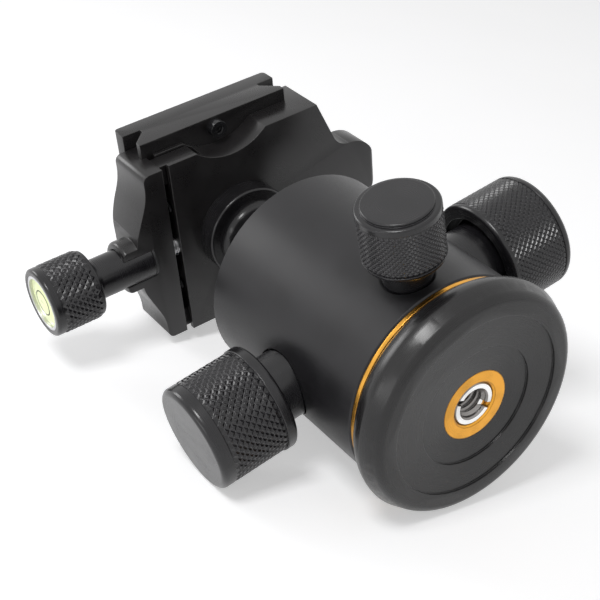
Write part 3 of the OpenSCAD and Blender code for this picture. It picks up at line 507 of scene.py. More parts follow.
class Shelf:
    """The finishes of this head."""

    # On the black finishes the lighter edge colour is wear with painted edge highlights.
    HOUSING = Finish(
        slot="housing_black", colour=(0.011, 0.0105, 0.012), wear_and_painted_light_colour=(0.05, 0.048, 0.052),
        smooth=0.34, rough=0.46, metallic=0.0, grain=Grain.BLASTED,
        grain_size=0.28, relief=0.006, level=0.4,
    )
    BASE = Finish(
        slot="base_black", colour=(0.011, 0.0105, 0.011), wear_and_painted_light_colour=(0.06, 0.058, 0.06),
        smooth=0.22, rough=0.32, metallic=0.0, grain=Grain.TURNED,
        grain_size=0.22, relief=0.0025, level=0.45,
    )
    # The pale edge colour of the knurl paints glints on the diamonds' edges, with wear.
    KNURL = Finish(
        slot="knob_black", colour=(0.008, 0.0075, 0.009), wear_and_painted_light_colour=(0.17, 0.165, 0.175),
        smooth=0.16, rough=0.26, metallic=0.0, grain=Grain.MOULDED,
        grain_size=0.2, relief=0.002, edge_round=0.12, wear_and_painted_light_share=0.7,
    )
    KNOB = Finish(
        slot="knob_black", colour=(0.010, 0.0095, 0.011), wear_and_painted_light_colour=(0.07, 0.068, 0.072),
        smooth=0.2, rough=0.3, metallic=0.0, grain=Grain.TURNED,
        grain_size=0.2, relief=0.003,
    )
    CLAMP = Finish(
        slot="clamp_black", colour=(0.012, 0.011, 0.0115), wear_and_painted_light_colour=(0.09, 0.087, 0.085),
        smooth=0.26, rough=0.36, metallic=0.0, grain=Grain.BLASTED,
        grain_size=0.3, relief=0.003, wear_and_painted_light_share=0.6,
    )
    # On the orange finishes the dark edge colour is a painted shadow gap round the flange and the ring.
    ORANGE = Finish(
        slot="orange_anodised", colour=(0.76, 0.36, 0.05), wear_and_painted_light_colour=(0.06, 0.022, 0.01),
        smooth=0.2, rough=0.36, metallic=1.0, grain=Grain.TURNED,
        grain_size=0.16, relief=0.004, edge_round=0.42, wear_and_painted_light_share=1.0,
    )
    RING = Finish(
        slot="orange_anodised", colour=(0.72, 0.36, 0.06), wear_and_painted_light_colour=(0.08, 0.035, 0.015),
        smooth=0.16, rough=0.3, metallic=1.0, grain=Grain.TURNED,
        grain_size=0.16, relief=0.004, edge_round=0.4, wear_and_painted_light_share=1.0,
    )
    INSERT = Finish(
        slot="insert_steel", colour=(0.90, 0.90, 0.89), wear_and_painted_light_colour=(0.95, 0.95, 0.94),
        smooth=0.12, rough=0.24, metallic=1.0, grain=Grain.TURNED,
        grain_size=0.16, relief=0.002, wear_and_painted_light_share=0.3,
    )
    # Darker steel for the threaded bore: painted shade for the dark inside of the hole.
    BORE_PAINTED_SHADE = Finish(
        slot="insert_steel", colour=(0.26, 0.25, 0.24), wear_and_painted_light_colour=(0.5, 0.48, 0.46),
        smooth=0.2, rough=0.34, metallic=1.0, grain=Grain.TURNED,
        grain_size=0.16, relief=0.003, wear_and_painted_light_share=0.3,
    )
    SCREW = Finish(
        slot="screw_steel", colour=(0.6, 0.6, 0.61), wear_and_painted_light_colour=(0.8, 0.8, 0.8),
        smooth=0.22, rough=0.36, metallic=1.0, grain=Grain.TURNED,
        grain_size=0.18, relief=0.003, wear_and_painted_light_share=0.4,
    )
    BLUED = Finish(
        slot="screw_steel", colour=(0.02, 0.02, 0.022), wear_and_painted_light_colour=(0.12, 0.12, 0.12),
        smooth=0.2, rough=0.32, metallic=0.3, grain=Grain.TURNED,
        grain_size=0.18, relief=0.003, wear_and_painted_light_share=0.4,
    )
    ALLOY = Finish(
        slot="bare_alloy", colour=(0.62, 0.62, 0.64), wear_and_painted_light_colour=(0.8, 0.8, 0.82),
        smooth=0.26, rough=0.42, metallic=1.0, grain=Grain.TURNED,
        grain_size=0.18, relief=0.004, wear_and_painted_light_share=0.4,
    )
    BALL = Finish(
        slot="ball_alloy", colour=(0.010, 0.0095, 0.0105), wear_and_painted_light_colour=(0.05, 0.05, 0.053),
        smooth=0.2, rough=0.3, metallic=0.0, grain=Grain.TURNED,
        grain_size=0.2, relief=0.002, wear_and_painted_light_share=0.2, level=0.45,
    )
    PLASTIC = Finish(
        slot="slide_plastic", colour=(0.8, 0.79, 0.74), wear_and_painted_light_colour=(0.85, 0.84, 0.8),
        smooth=0.42, rough=0.55, metallic=0.0, grain=Grain.MOULDED,
        grain_size=0.4, relief=0.004, wear_and_painted_light_share=0.2,
    )
    DARK_PLASTIC = Finish(
        slot="slide_plastic", colour=(0.02, 0.02, 0.021), wear_and_painted_light_colour=(0.05, 0.05, 0.05),
        smooth=0.42, rough=0.55, metallic=0.0, grain=Grain.MOULDED,
        grain_size=0.4, relief=0.004, wear_and_painted_light_share=0.2,
    )
    RUBBER = Finish(
        slot="pad_rubber", colour=(0.024, 0.024, 0.025), wear_and_painted_light_colour=(0.05, 0.05, 0.05),
        smooth=0.62, rough=0.82, metallic=0.0, grain=Grain.MOULDED,
        grain_size=0.25, relief=0.02, wear_and_painted_light_share=0.3,
    )
    # Both fillings carry a painted glow.
    FLUID = Fluid(slot="level_fluid", colour=(0.86, 0.92, 0.56), clear=0.3, painted_glow=0.25)
    AIR = Fluid(slot="level_air", colour=(0.95, 0.98, 0.84), clear=0.5, painted_glow=0.22)


# ---------- mesh building ----------


@dataclass(frozen=True)
class Thread:
    """A screw thread on a turned wall.

    Args:
        root_r: Radius at the root of the thread.
        crest_r: Radius at its crest, smaller than the root's inside a bore.
        start: Where it starts along the spindle.
        end: Where it ends.
        pitch: Distance from one turn to the next.
        profile: Corners of one turn, each as a share of the pitch and a share of the depth.
        run_out: Share of the pitch over which the thread runs out at its ends.
    """

    root_r: float
    crest_r: float
    start: float
    end: float
    pitch: float
    profile: Sequence[tuple[float, float]] = ((0.0, 0.0), (0.12, 0.0), (0.5, 1.0), (0.62, 1.0))
    run_out: float = 0.5


class Turning:
    """A closed mesh made of rings about a spindle, in millimetres in the spindle's frame."""

    def __init__(self, spindle: Spindle, steps: int = 64) -> None:
        """Starts an empty mesh.

        Args:
            spindle: Axis that the rings lie round.
            steps: Number of corners in a ring.
        """
        self.spindle = spindle
        self.steps = steps
        self.mesh = bmesh.new()

    def corner(self, radius: float, angle: float, along: float) -> bmesh.types.BMVert:
        """Adds one corner, given by its radius, its angle in radians and its distance along."""
        return self.mesh.verts.new((radius * math.cos(angle), radius * math.sin(angle), along))

    def ring(self, radius: float, along: float) -> Loop:
        """Adds a ring of corners, given by its radius and its distance along."""
        return [self.corner(radius, FULL_TURN * k / self.steps, along) for k in range(self.steps)]

    def bridge(self, first: Loop, second: Loop) -> None:
        """Joins two rings with as many corners by a band of faces.

        Args:
            first: One ring.
            second: The other ring.
        """
        for k, here in enumerate(first):
            after = (k + 1) % len(first)
            self.mesh.faces.new((here, first[after], second[after], second[k]))

    def shell(self, outline: Sequence[tuple[float, float]], before: Loop | None = None) -> Loop:
        """Adds a ring for each point of a half section and joins them in turn.

        Args:
            outline: Points as radius and distance along.
            before: Ring that the first new one is joined to.

        Returns:
            The last ring.
        """
        last = before
        for radius, along in outline:
            new = self.ring(radius, along)
            if last is not None:
                self.bridge(last, new)
            last = new
        return last

    def close(self, ring: Loop) -> None:
        """Closes a ring with one flat face."""
        self.mesh.faces.new(ring)

    def thread(self, thread: Thread) -> tuple[Loop, Loop]:
        """Adds a threaded wall whose turns run out at both ends.

        Args:
            thread: Sizes of the thread.

        Returns:
            The plain rings at its start and its end.
        """
        turns = math.ceil((thread.end - thread.start) / thread.pitch) + 1
        depth = thread.crest_r - thread.root_r
        columns: list[Loop] = []
        for k in range(self.steps + 1):
            angle = FULL_TURN * k / self.steps
            column = []
            for turn in range(-1, turns):
                for phase, share in thread.profile:
                    along = thread.start + (turn + phase + k / self.steps) * thread.pitch
                    inside = thread.start < along < thread.end
                    from_end = min(along - thread.start, thread.end - along)
                    kept = min(1.0, from_end / (thread.run_out * thread.pitch))
                    height = share * kept if inside else 0.0
                    held = min(max(along, thread.start), thread.end)
                    column.append(self.corner(thread.root_r + depth * height, angle, held))
            columns.append(column)
        for left, right in zip(columns, columns[1:]):
            for row in range(len(left) - 1):
                self.mesh.faces.new((left[row], left[row + 1], right[row + 1], right[row]))
        first = self.ring(thread.root_r, thread.start)
        last = self.ring(thread.root_r, thread.end)
        return first, last

    def piece(self, name: str, sharp: float = 32.0) -> bpy.types.Object:
        """Turns the mesh into an object in the model's frame.

        Args:
            name: Name of the piece.
            sharp: Angle in degrees from which an edge stays sharp.

        Returns:
            The new object, whose place is in its mesh.
        """
        weld = 0.0004
        bmesh.ops.remove_doubles(self.mesh, verts=self.mesh.verts, dist=weld)
        bmesh.ops.dissolve_degenerate(self.mesh, edges=self.mesh.edges, dist=weld)
        loose = [v for v in self.mesh.verts if not v.link_faces]
        bmesh.ops.delete(self.mesh, geom=loose, context="VERTS")
        bmesh.ops.recalc_face_normals(self.mesh, faces=self.mesh.faces)
        bmesh.ops.transform(
            self.mesh, matrix=self.spindle.matrix() @ Matrix.Scale(MM, 4), verts=self.mesh.verts
        )
        return solid_object(name, self.mesh, sharp)


def solid_object(name: str, mesh: bmesh.types.BMesh, sharp: float = 30.0) -> bpy.types.Object:
    """Links a finished mesh into the scene with smooth faces between its sharp edges.

    Args:
        name: Name of the piece.
        mesh: The mesh, in metres in the model's frame. It is freed.
        sharp: Angle in degrees from which an edge stays sharp.

    Returns:
        The new object.
    """
    data = bpy.data.meshes.new(name)
    mesh.to_mesh(data)
    mesh.free()
    data.shade_smooth()
    data.set_sharp_from_angle(angle=math.radians(sharp))
    made = bpy.data.objects.new(name, data)
    bpy.context.scene.collection.objects.link(made)
    return made


@dataclass(frozen=True)
class Ease:
    """A round laid along the sharp edges of a piece.

    Args:
        width: Width of the round, in millimetres.
        segments: Number of faces across it.
        picks: Test of the edges that it is laid on, or None for all sharp ones.
        angle: Angle in degrees from which an edge is sharp.
    """

    width: float
    segments: int = 2
    picks: Callable[[bmesh.types.BMEdge], bool] | None = None
    angle: float = 38.0

    def lay(self, mesh: bmesh.types.BMesh) -> None:
        """Rounds the edges of a mesh.

        Args:
            mesh: The mesh, in metres.
        """
        least = math.radians(self.angle)
        sharp = [
            edge for edge in mesh.edges
            if len(edge.link_faces) == 2 and edge.calc_face_angle() > least
            and (self.picks is None or self.picks(edge))
        ]
        bmesh.ops.bevel(
            mesh, geom=sharp, offset=self.width * MM, offset_type="OFFSET", segments=self.segments,
            profile=0.5, affect="EDGES", clamp_overlap=True, material=-1, loop_slide=True,
        )


def eased_copy(node: str, name: str, eases: Sequence[Ease]) -> bpy.types.Object:
    """Copies a node of the model with its sharp edges rounded.

    Args:
        node: Name of the node.
        name: Name of the new piece.
        eases: The rounds, laid one after the other.

    Returns:
        The new object.
    """
    weld = 1e-6
    flat = math.radians(0.6)
    mesh = bmesh.new()
    mesh.from_mesh(frame["nodes"][node].data)
    bmesh.ops.remove_doubles(mesh, verts=mesh.verts, dist=weld)
    bmesh.ops.dissolve_limit(mesh, angle_limit=flat, verts=mesh.verts, edges=mesh.edges)
    for ease in eases:
        ease.lay(mesh)
    return solid_object(name, mesh, sharp=50.0)


def upright(edge: bmesh.types.BMEdge) -> bool:
    """Tells whether an edge stands upright and is longer than a small chamfer.

    Args:
        edge: The edge, in metres.

    Returns:
        True for an upright edge.
    """
    least = 1.2 * MM
    slant = 0.02
    run = edge.verts[1].co - edge.verts[0].co
    return abs(run.z) > least and math.hypot(run.x, run.y) < slant * abs(run.z)


def cut(piece: bpy.types.Object, tool: bpy.types.Object) -> None:
    """Takes one solid away from another for good.

    Args:
        piece: Object that is cut.
        tool: Object that is taken away. It is removed afterwards.
    """
    change = piece.modifiers.new("cut", "BOOLEAN")
    change.operation = "DIFFERENCE"
    change.solver = "EXACT"
    change.object = tool
    bpy.context.view_layer.update()
    seen = piece.evaluated_get(bpy.context.evaluated_depsgraph_get())
    old = piece.data
    piece.data = bpy.data.meshes.new_from_object(seen)
    piece.modifiers.clear()
    bpy.data.meshes.remove(old)
    bpy.data.objects.remove(tool)


def block(place: Matrix, low: Sequence[float], high: Sequence[float]) -> bpy.types.Object:
    """Makes a cutting block.

    Args:
        place: Frame of the block, in metres.
        low: Its lowest corner, in millimetres.
        high: Its highest corner, in millimetres.

    Returns:
        The block.
    """
    mesh = bmesh.new()
    bmesh.ops.create_cube(mesh, size=1.0)
    size = Vector(high) - Vector(low)
    middle = (Vector(high) + Vector(low)) / 2
    shape = place @ Matrix.Scale(MM, 4) @ Matrix.Translation(middle) @ Matrix.Diagonal((*size, 1.0))
    bmesh.ops.transform(mesh, matrix=shape, verts=mesh.verts)
    return solid_object("cutting_block", mesh)


# ---------- sub-assemblies ----------


@dataclass
class SubAssembly:
    """What every sub-assembly of the head can do.

    Attributes:
        made: Names of the pieces made so far.
    """

    made: list[str] = field(default_factory=list, init=False)

    def dress(self, node: str, finish: Finish | Fluid, spindle: Spindle | None = None) -> None:
        """Lays a finish on a node of the model.

        Args:
            node: Name of the node.
            finish: The finish.
            spindle: Axis of its lathe marks.
        """
        shown = frame["nodes"][node]
        material = finish.material(spindle, "_" + node)
        shown.data.materials.clear()
        shown.data.materials.append(material)
        self.made.append(node)

    def fit(
        self, piece: bpy.types.Object, body: str, finishes: Sequence[Finish | Fluid],
        spindle: Spindle | None = None, stands_for: Sequence[str] = (),
    ) -> bpy.types.Object:
        """Finishes a new piece and lets it ride on its body.

        Args:
            piece: The new piece.
            body: Name of the body that carries it.
            finishes: Its finishes, one for each material index.
            spindle: Axis of its lathe marks.
            stands_for: Nodes of the model that it replaces.

        Returns:
            The piece.
        """
        for index, finish in enumerate(finishes):
            piece.data.materials.append(finish.material(spindle, f"_{piece.name}_{index}"))
        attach(piece, body)
        if stands_for:
            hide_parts(*stands_for)
        self.made.append(piece.name)
        return piece

    def report(self) -> None:
        """Logs what was made."""
        for name in self.made:
            LOG.info("%s: %s", type(self).__name__, name)


@dataclass
class Base(SubAssembly):
    """The foot with its tripod thread, and what holds the housing down on it.

    Args:
        minor_r: Radius over the crests of the inner thread.
        major_r: Radius at its roots.
        pitch: Its pitch.
        slot_w: Width of the slot across the insert.
        slot_depth: Depth of that slot.
        slot_azimuth: Angle of the slot about the head's main axis, in degrees.
        mouth: Chamfer at both mouths of the thread.
        foot_round: Width of the round along the rim of the foot's underside.
        step_round: Width of the rounds along the foot's other edges.
        foot_from_r: Radius beyond which an edge of the underside belongs to the rim.
    """

    minor_r: float = 2.55
    major_r: float = 3.175
    pitch: float = 1.27
    slot_w: float = 1.2
    slot_depth: float = 1.2
    slot_azimuth: float = 38.0
    mouth: float = 0.35
    foot_round: float = 1.6
    step_round: float = 0.3
    foot_from_r: float = 22.0

    def build(self) -> None:
        """Makes the foot and the thread insert, and dresses the turned pieces."""
        spindle = Spindle.of_joint("pan")
        self.fit(self.foot(), "base", (Shelf.BASE,), spindle, ("base_disc",))
        self.dress("base_bush", Shelf.ORANGE, spindle)
        self.dress("pan_ring", Shelf.RING, spindle)
        for node in ("pan_washer", "top_washer"):
            self.dress(node, Shelf.PLASTIC, spindle)
        for node in ("retaining_ring", "retaining_screws"):
            self.dress(node, Shelf.SCREW, spindle)
        insert = self.thread_insert(spindle)
        self.fit(insert, "base", (Shelf.INSERT, Shelf.BORE_PAINTED_SHADE), spindle, ("thread_reducer",))

    def foot(self) -> bpy.types.Object:
        """Makes the foot with its rim fully rounded and its steps eased.

        Returns:
            The foot.
        """
        lowest = 0.1

        def at_rim(edge: bmesh.types.BMEdge) -> bool:
            """Tells whether an edge lies round the rim of the foot's underside."""
            middle = (edge.verts[0].co + edge.verts[1].co) / 2
            return middle.z < lowest * MM and math.hypot(middle.x, middle.y) > self.foot_from_r * MM

        eases = (Ease(self.foot_round, segments=8, picks=at_rim), Ease(self.step_round, segments=3))
        return eased_copy("base_disc", "foot_disc", eases)

    def thread_insert(self, spindle: Spindle) -> bpy.types.Object:
        """Makes the slotted insert with its inner thread.

        Args:
            spindle: The head's main axis.

        Returns:
            The insert.
        """
        low, high = node_span("thread_reducer", spindle)
        outer_r = max(r for _, r in spindle.section("thread_reducer"))
        edge = 0.25
        over = 1.0
        facing = 0.9
        turning = Turning(spindle, steps=96)
        bore = Thread(self.major_r, self.minor_r, low + self.mouth, high - self.mouth, self.pitch)
        first, last = turning.thread(bore)
        outside = turning.shell(
            [
                (self.major_r + self.mouth, low), (outer_r - edge, low), (outer_r, low + edge),
                (outer_r, high - edge), (outer_r - edge, high), (self.major_r + self.mouth, high),
            ],
            first,
        )
        turning.bridge(outside, last)
        piece = turning.piece("thread_insert")
        turn = Matrix.Rotation(math.radians(self.slot_azimuth), 4, "Z")
        reach = outer_r + over
        tool = block(
            turn, (-reach, -self.slot_w / 2, low - over), (reach, self.slot_w / 2, low + self.slot_depth)
        )
        cut(piece, tool)
        # Faces that do not face along the axis, the thread and the walls, take the darker steel of painted
        # shade.
        for face in piece.data.polygons:
            face.material_index = 0 if abs(face.normal.z) > facing else 1
        return piece


@dataclass
class Housing(SubAssembly):
    """The shell that holds the ball, with everything fixed in it."""

    def build(self) -> None:
        """Dresses the shell, its collars and its inner rings."""
        main = Spindle.of_joint("pan")
        self.dress("housing", Shelf.HOUSING)
        self.dress("pan_carrier", Shelf.ALLOY, main)
        self.dress("seat_ring", Shelf.PLASTIC, main)
        self.dress("preload_spring", Shelf.SCREW)
        collars = {
            "lock_collar": "lock_turn", "friction_collar": "friction_turn", "pan_collar": "pan_lock_turn"
        }
        for node, joint in collars.items():
            self.dress(node, Shelf.KNOB, Spindle.of_joint(joint))


@dataclass
class BallAndCup(SubAssembly):
    """The ball with its stem, and the rings under it."""

    def build(self) -> None:
        """Dresses the ball and its seats."""
        main = Spindle.of_joint("pan")
        self.dress("ball", Shelf.BALL, main)
        self.dress("ball_cup", Shelf.PLASTIC, main)
        self.dress("cup_pusher", Shelf.ALLOY, main)


@dataclass(frozen=True)
class Knurl:
    """A band of diamond knurling round a knob.

    Args:
        crest_r: Radius over the flats of the diamonds.
        around: Number of diamonds round the band.
        rows: Number of rows along it.
        flat: Share of a diamond's width that its flat top keeps.
        depth: Height of a diamond over the plain band.
        lift: Height of the grooves over the plain band.
        inner_gap: How far the sleeve reaches into the knob.
    """

    crest_r: float
    around: int
    rows: int
    flat: float = 0.36
    depth: float = 0.25
    lift: float = 0.015
    inner_gap: float = 0.15

    def sleeve(self, node: str, name: str, spindle: Spindle) -> bpy.types.Object:
        """Makes the band as a closed sleeve over the plain band of the knob.

        Args:
            node: The knob's node.
            name: Name of the new piece.
            spindle: The knob's axis.

        Returns:
            The sleeve.
        """
        band_r = self.crest_r - self.depth
        start, end = spindle.span_at(node, band_r)
        turning = Turning(spindle, self.around)
        columns, levels = 2 * self.around, 2 * self.rows
        step = (end - start) / levels

        def low_corner(column: int, level: int) -> bmesh.types.BMVert:
            """Finds or makes a corner where two grooves cross.

            Args:
                column: Which half step round the band it is on.
                level: Which half row along the band it is on.

            Returns:
                The corner.
            """
            key = (column % columns, level)
            if key not in low:
                angle = FULL_TURN * key[0] / columns
                low[key] = turning.corner(band_r + self.lift, angle, start + level * step)
            return low[key]

        low: dict[tuple[int, int], bmesh.types.BMVert] = {}
        for level in range(levels + 1):
            for column in range(columns):
                if (column + level) % 2 == 0:
                    continue
                sides = [(column - 1, level), (column, level + 1), (column + 1, level), (column, level - 1)]
                corners = [low_corner(*side) for side in sides if 0 <= side[1] <= levels]
                if len(corners) < len(sides):
                    turning.mesh.faces.new(corners)
                    continue
                self.diamond(turning, column, start + level * step, step, corners)
        inner_r = band_r - self.inner_gap
        rims = [
            (turning.ring(inner_r, along), [low_corner(2 * k, level) for k in range(self.around)])
            for along, level in ((start, 0), (end, levels))
        ]
        for inner, outer in rims:
            turning.bridge(inner, outer)
        turning.bridge(rims[0][0], rims[1][0])
        return turning.piece(name, sharp=24.0)

    def diamond(
        self, turning: Turning, column: int, along: float, step: float, corners: Loop
    ) -> None:
        """Adds one diamond with a flat top.

        Args:
            turning: Mesh of the band.
            column: Which half step round the band its middle is on.
            along: Distance of its middle along the spindle.
            step: Half the diamond's length.
            corners: Its four low corners.
        """
        half_turn = FULL_TURN / (2 * self.around)
        angle = column * half_turn
        shifts = ((-1, 0), (0, 1), (1, 0), (0, -1))
        top = [
            turning.corner(self.crest_r, angle + a * self.flat * half_turn, along + b * self.flat * step)
            for a, b in shifts
        ]
        turning.mesh.faces.new(top)
        for k, here in enumerate(corners):
            after = (k + 1) % len(corners)
            turning.mesh.faces.new((here, corners[after], top[after], top[k]))


@dataclass
class Knob(SubAssembly):
    """A turned knob on the housing with its screw and tip.

    Args:
        name: First word of its nodes' names.
        joint: Hinge that it turns on.
        knurl: Its knurled band.
        tip_finish: Finish of the tip.
    """

    name: str
    joint: str
    knurl: Knurl
    tip_finish: Finish = Shelf.SCREW

    def build(self) -> None:
        """Dresses the knob and makes its grip."""
        spindle = Spindle.of_joint(self.joint)
        node = f"{self.name}_knob"
        self.dress(node, Shelf.KNOB, spindle)
        self.dress(f"{self.name}_screw", Shelf.SCREW, spindle)
        self.dress(f"{self.name}_shoe", self.tip_finish, spindle)
        grip = self.knurl.sleeve(node, f"{self.name}_grip", spindle)
        self.fit(grip, node, (Shelf.KNURL,))


@dataclass
class Clamp(SubAssembly):
    """The two jaws and what is between them.

    Args:
        edge: Width of the rounds along the jaws' edges.
    """

    edge: float = 0.5

    def build(self) -> None:
        """Makes the jaws with eased edges and dresses the rest."""
        for node, body in (("fixed_jaw", "clamp"), ("moving_jaw", "moving_jaw")):
            jaw = eased_copy(node, node + "_eased", (Ease(self.edge, segments=3),))
            self.fit(jaw, body, (Shelf.CLAMP,), stands_for=(node,))
        self.dress("stem_screw", Shelf.SCREW, Spindle.of_joint("pan"))
        self.dress("jaw_springs", Shelf.BLUED)
        self.dress("thrust_washer", Shelf.DARK_PLASTIC, Spindle.of_joint("clamp_knob_turn"))


@dataclass
class ClampKnob(SubAssembly):
    """The clamp's knob, its screw and the round level in its end.

    Args:
        knurl: The knob's knurled band.
        minor_r: Radius at the roots of the screw's thread.
        major_r: Radius over its crests.
        pitch: Its pitch.
        thread_end: Distance along the spindle at which the thread ends.
        mark_inner_r: Inner radius of the ring that the bubble is read against.
        mark_outer_r: Its outer radius.
        mark_height: Its height over the level's dome.
        dome_r: Radius to which the level's dome is curved.
        screw_tip: Chamfer at the screw's tip.
    """

    knurl: Knurl = Knurl(crest_r=8.0, around=30, rows=5)
    minor_r: float = 2.05
    major_r: float = 2.5
    pitch: float = 0.8
    thread_end: float = 22.5
    mark_inner_r: float = 2.75
    mark_outer_r: float = 3.0
    mark_height: float = 0.03
    dome_r: float = 30.0
    screw_tip: float = 0.4

    def build(self) -> None:
        """Dresses the knob, and makes its grip, screw and level mark."""
        spindle = Spindle.of_joint("clamp_knob_turn")
        self.dress("clamp_knob", Shelf.KNOB, spindle)
        self.dress("level_ring", Shelf.ALLOY, spindle)
        self.dress("level_vial", Shelf.FLUID)
        self.dress("level_bubble", Shelf.AIR)
        grip = self.knurl.sleeve("clamp_knob", "clamp_knob_grip", spindle)
        self.fit(grip, "clamp_knob", (Shelf.KNURL,))
        self.fit(self.screw(spindle), "clamp_knob", (Shelf.SCREW,), spindle, ("clamp_screw",))
        self.fit(self.level_mark(spindle), "clamp_knob", (Shelf.RUBBER,), spindle)

    def screw(self, spindle: Spindle) -> bpy.types.Object:
        """Makes the clamp screw with its thread.

        Args:
            spindle: The knob's axis.

        Returns:
            The screw.
        """
        start, end = node_span("clamp_screw", spindle)
        tip = self.screw_tip
        turning = Turning(spindle, steps=40)
        first, last = turning.thread(
            Thread(self.minor_r, self.major_r, start + tip, self.thread_end, self.pitch)
        )
        turning.close(turning.shell([(self.minor_r - tip, start)], first))
        turning.close(
            turning.shell([(self.major_r, self.thread_end + tip), (self.major_r, end)], last)
        )
        return turning.piece("threaded_clamp_screw")

    def level_mark(self, spindle: Spindle) -> bpy.types.Object:
        """Makes the ring that the bubble is read against.

        Args:
            spindle: The knob's axis.

        Returns:
            The ring, lying on the level's dome.
        """
        _, top = node_span("level_vial", spindle)
        sink = 0.05

        def dome(radius: float, lift: float) -> tuple[float, float]:
            """Gives a point a little over or under the dome."""
            drop = self.dome_r - math.sqrt(self.dome_r**2 - radius**2)
            return radius, top - drop + lift

        turning = Turning(spindle, steps=72)
        outline = [
            dome(self.mark_inner_r, self.mark_height), dome(self.mark_outer_r, self.mark_height),
            dome(self.mark_outer_r, -sink), dome(self.mark_inner_r, -sink),
        ]
        first = turning.ring(*outline[0])
        turning.bridge(turning.shell(outline[1:], first), first)
        return turning.piece("level_mark")


@dataclass
class CameraPlate(SubAssembly):
    """The quick-release plate with its pads and screws.

    Args:
        edge: Width of the rounds along the plate's edges.
        corner: Width of the rounds on its upright corners.
        rib_pitch: Distance from one rib of the pads to the next, about.
        rib_height: Height of a rib.
        rib_foot: Share of the pitch at which a rib starts to rise.
        rib_top: Share at which its flat top starts.
        rib_end: Share at which its flat top ends.
        minor_r: Radius at the roots of the camera screw's thread.
        major_r: Radius over its crests.
        pitch: Its pitch.
        neck_r: Radius of the screw's neck.
        groove_r: Radius in the groove for the clip.
        head_h: Height of the screw's head.
        head_edge: Chamfer of the head.
        tip: Chamfer at the screw's tip.
        slot_w: Width of the slot in the head.
        slot_depth: Its depth.
    """

    edge: float = 0.3
    corner: float = 1.5
    rib_pitch: float = 1.2
    rib_height: float = 0.35
    rib_foot: float = 0.2
    rib_top: float = 0.35
    rib_end: float = 0.85
    minor_r: float = 2.5
    major_r: float = 3.175
    pitch: float = 1.27
    neck_r: float = 2.8
    groove_r: float = 2.3
    head_h: float = 2.0
    head_edge: float = 0.3
    tip: float = 0.5
    slot_w: float = 1.6
    slot_depth: float = 1.0

    def build(self) -> None:
        """Makes the plate, pads and camera screw, and dresses the rest."""
        spindle = Spindle.of_joint("camera_screw_turn")
        eases = (Ease(self.corner, segments=6, picks=upright), Ease(self.edge, segments=3))
        plate = eased_copy("plate", "plate_eased", eases)
        self.fit(plate, "plate", (Shelf.CLAMP,), stands_for=("plate",))
        self.fit(self.pads(), "plate", (Shelf.RUBBER,), stands_for=("plate_pads",))
        self.dress("stop_screws", Shelf.BLUED)
        self.dress("screw_clip", Shelf.SCREW, spindle)
        self.fit(self.screw(spindle), "camera_screw", (Shelf.SCREW,), spindle, ("camera_screw",))

    def pads(self) -> bpy.types.Object:
        """Makes the rubber pads with their ribs.

        Returns:
            Both pads as one object.
        """
        clamp = clamp_frame()
        back = clamp.inverted()
        places = [back @ v.co / MM for v in frame["nodes"]["plate_pads"].data.vertices]
        half_w = max(p.x for p in places)
        low = min(p.z for p in places)
        high = max(p.z for p in places)
        inner = min(abs(p.y) for p in places)
        outer = max(abs(p.y) for p in places)
        count = round((outer - inner) / self.rib_pitch)
        pitch = (outer - inner) / count
        valley = high - self.rib_height
        mesh = bmesh.new()
        for side in (-1, 1):
            profile = [(inner, low)]
            for rib in range(count):
                start = inner + rib * pitch
                profile += [
                    (start, valley), (start + self.rib_foot * pitch, valley),
                    (start + self.rib_top * pitch, high), (start + self.rib_end * pitch, high),
                ]
            profile += [(outer, valley), (outer, low)]
            ends = [
                [mesh.verts.new((end * half_w, side * v, w)) for v, w in profile] for end in (-1, 1)
            ]
            for k in range(len(profile)):
                after = (k + 1) % len(profile)
                mesh.faces.new((ends[0][k], ends[0][after], ends[1][after], ends[1][k]))
            for end in ends:
                mesh.faces.new(end)
        bmesh.ops.recalc_face_normals(mesh, faces=mesh.faces)
        bmesh.ops.transform(mesh, matrix=clamp @ Matrix.Scale(MM, 4), verts=mesh.verts)
        return solid_object("ribbed_pads", mesh)

    def screw(self, spindle: Spindle) -> bpy.types.Object:
        """Makes the camera screw: slotted head, neck with a groove, and thread.

        Args:
            spindle: Axis of the screw.

        Returns:
            The screw.
        """
        outline = spindle.section("camera_screw")
        head_z = min(d for d, _ in outline)
        head_r = max(r for _, r in outline)
        tip_z = max(d for d, _ in outline)
        thread_z, _ = spindle.span_at("camera_screw", self.major_r)
        groove = spindle.span_at("camera_screw", self.groove_r)
        under_head = head_z + self.head_h
        edge = self.head_edge
        over = 1.0
        turning = Turning(spindle, steps=72)
        first, last = turning.thread(
            Thread(self.minor_r, self.major_r, thread_z + edge, tip_z - self.tip, self.pitch)
        )
        turning.close(turning.shell([(self.minor_r - self.tip, tip_z)], last))
        bottom = turning.shell(
            [
                (self.neck_r, thread_z), (self.neck_r, groove[1]), (self.groove_r, groove[1]),
                (self.groove_r, groove[0]), (self.neck_r, groove[0]), (self.neck_r, under_head),
                (head_r - edge, under_head), (head_r, under_head - edge),
                (head_r, head_z + edge), (head_r - edge, head_z),
            ],
            first,
        )
        turning.close(bottom)
        piece = turning.piece("threaded_camera_screw")
        reach = head_r + over
        tool = block(
            spindle_frame_at_clamp(spindle), (-reach, -self.slot_w / 2, head_z - over),
            (reach, self.slot_w / 2, head_z + self.slot_depth),
        )
        cut(piece, tool)
        return piece


def clamp_frame() -> Matrix:
    """Finds the clamp's own frame, with X across the jaws and Z along the stem.

    Returns:
        Its matrix, in metres, level with the model's origin.
    """
    across = -Spindle.of_joint("clamp_knob_turn").axis
    up = Vector((0, 0, 1))
    return Matrix((across, up.cross(across), up)).transposed().to_4x4()


def spindle_frame_at_clamp(spindle: Spindle) -> Matrix:
    """Gives the clamp's frame moved to a spindle's origin.

    Args:
        spindle: An upright axis.

    Returns:
        The frame's matrix, in metres.
    """
    return Matrix.Translation(spindle.origin) @ clamp_frame()


# ---------- studio ----------


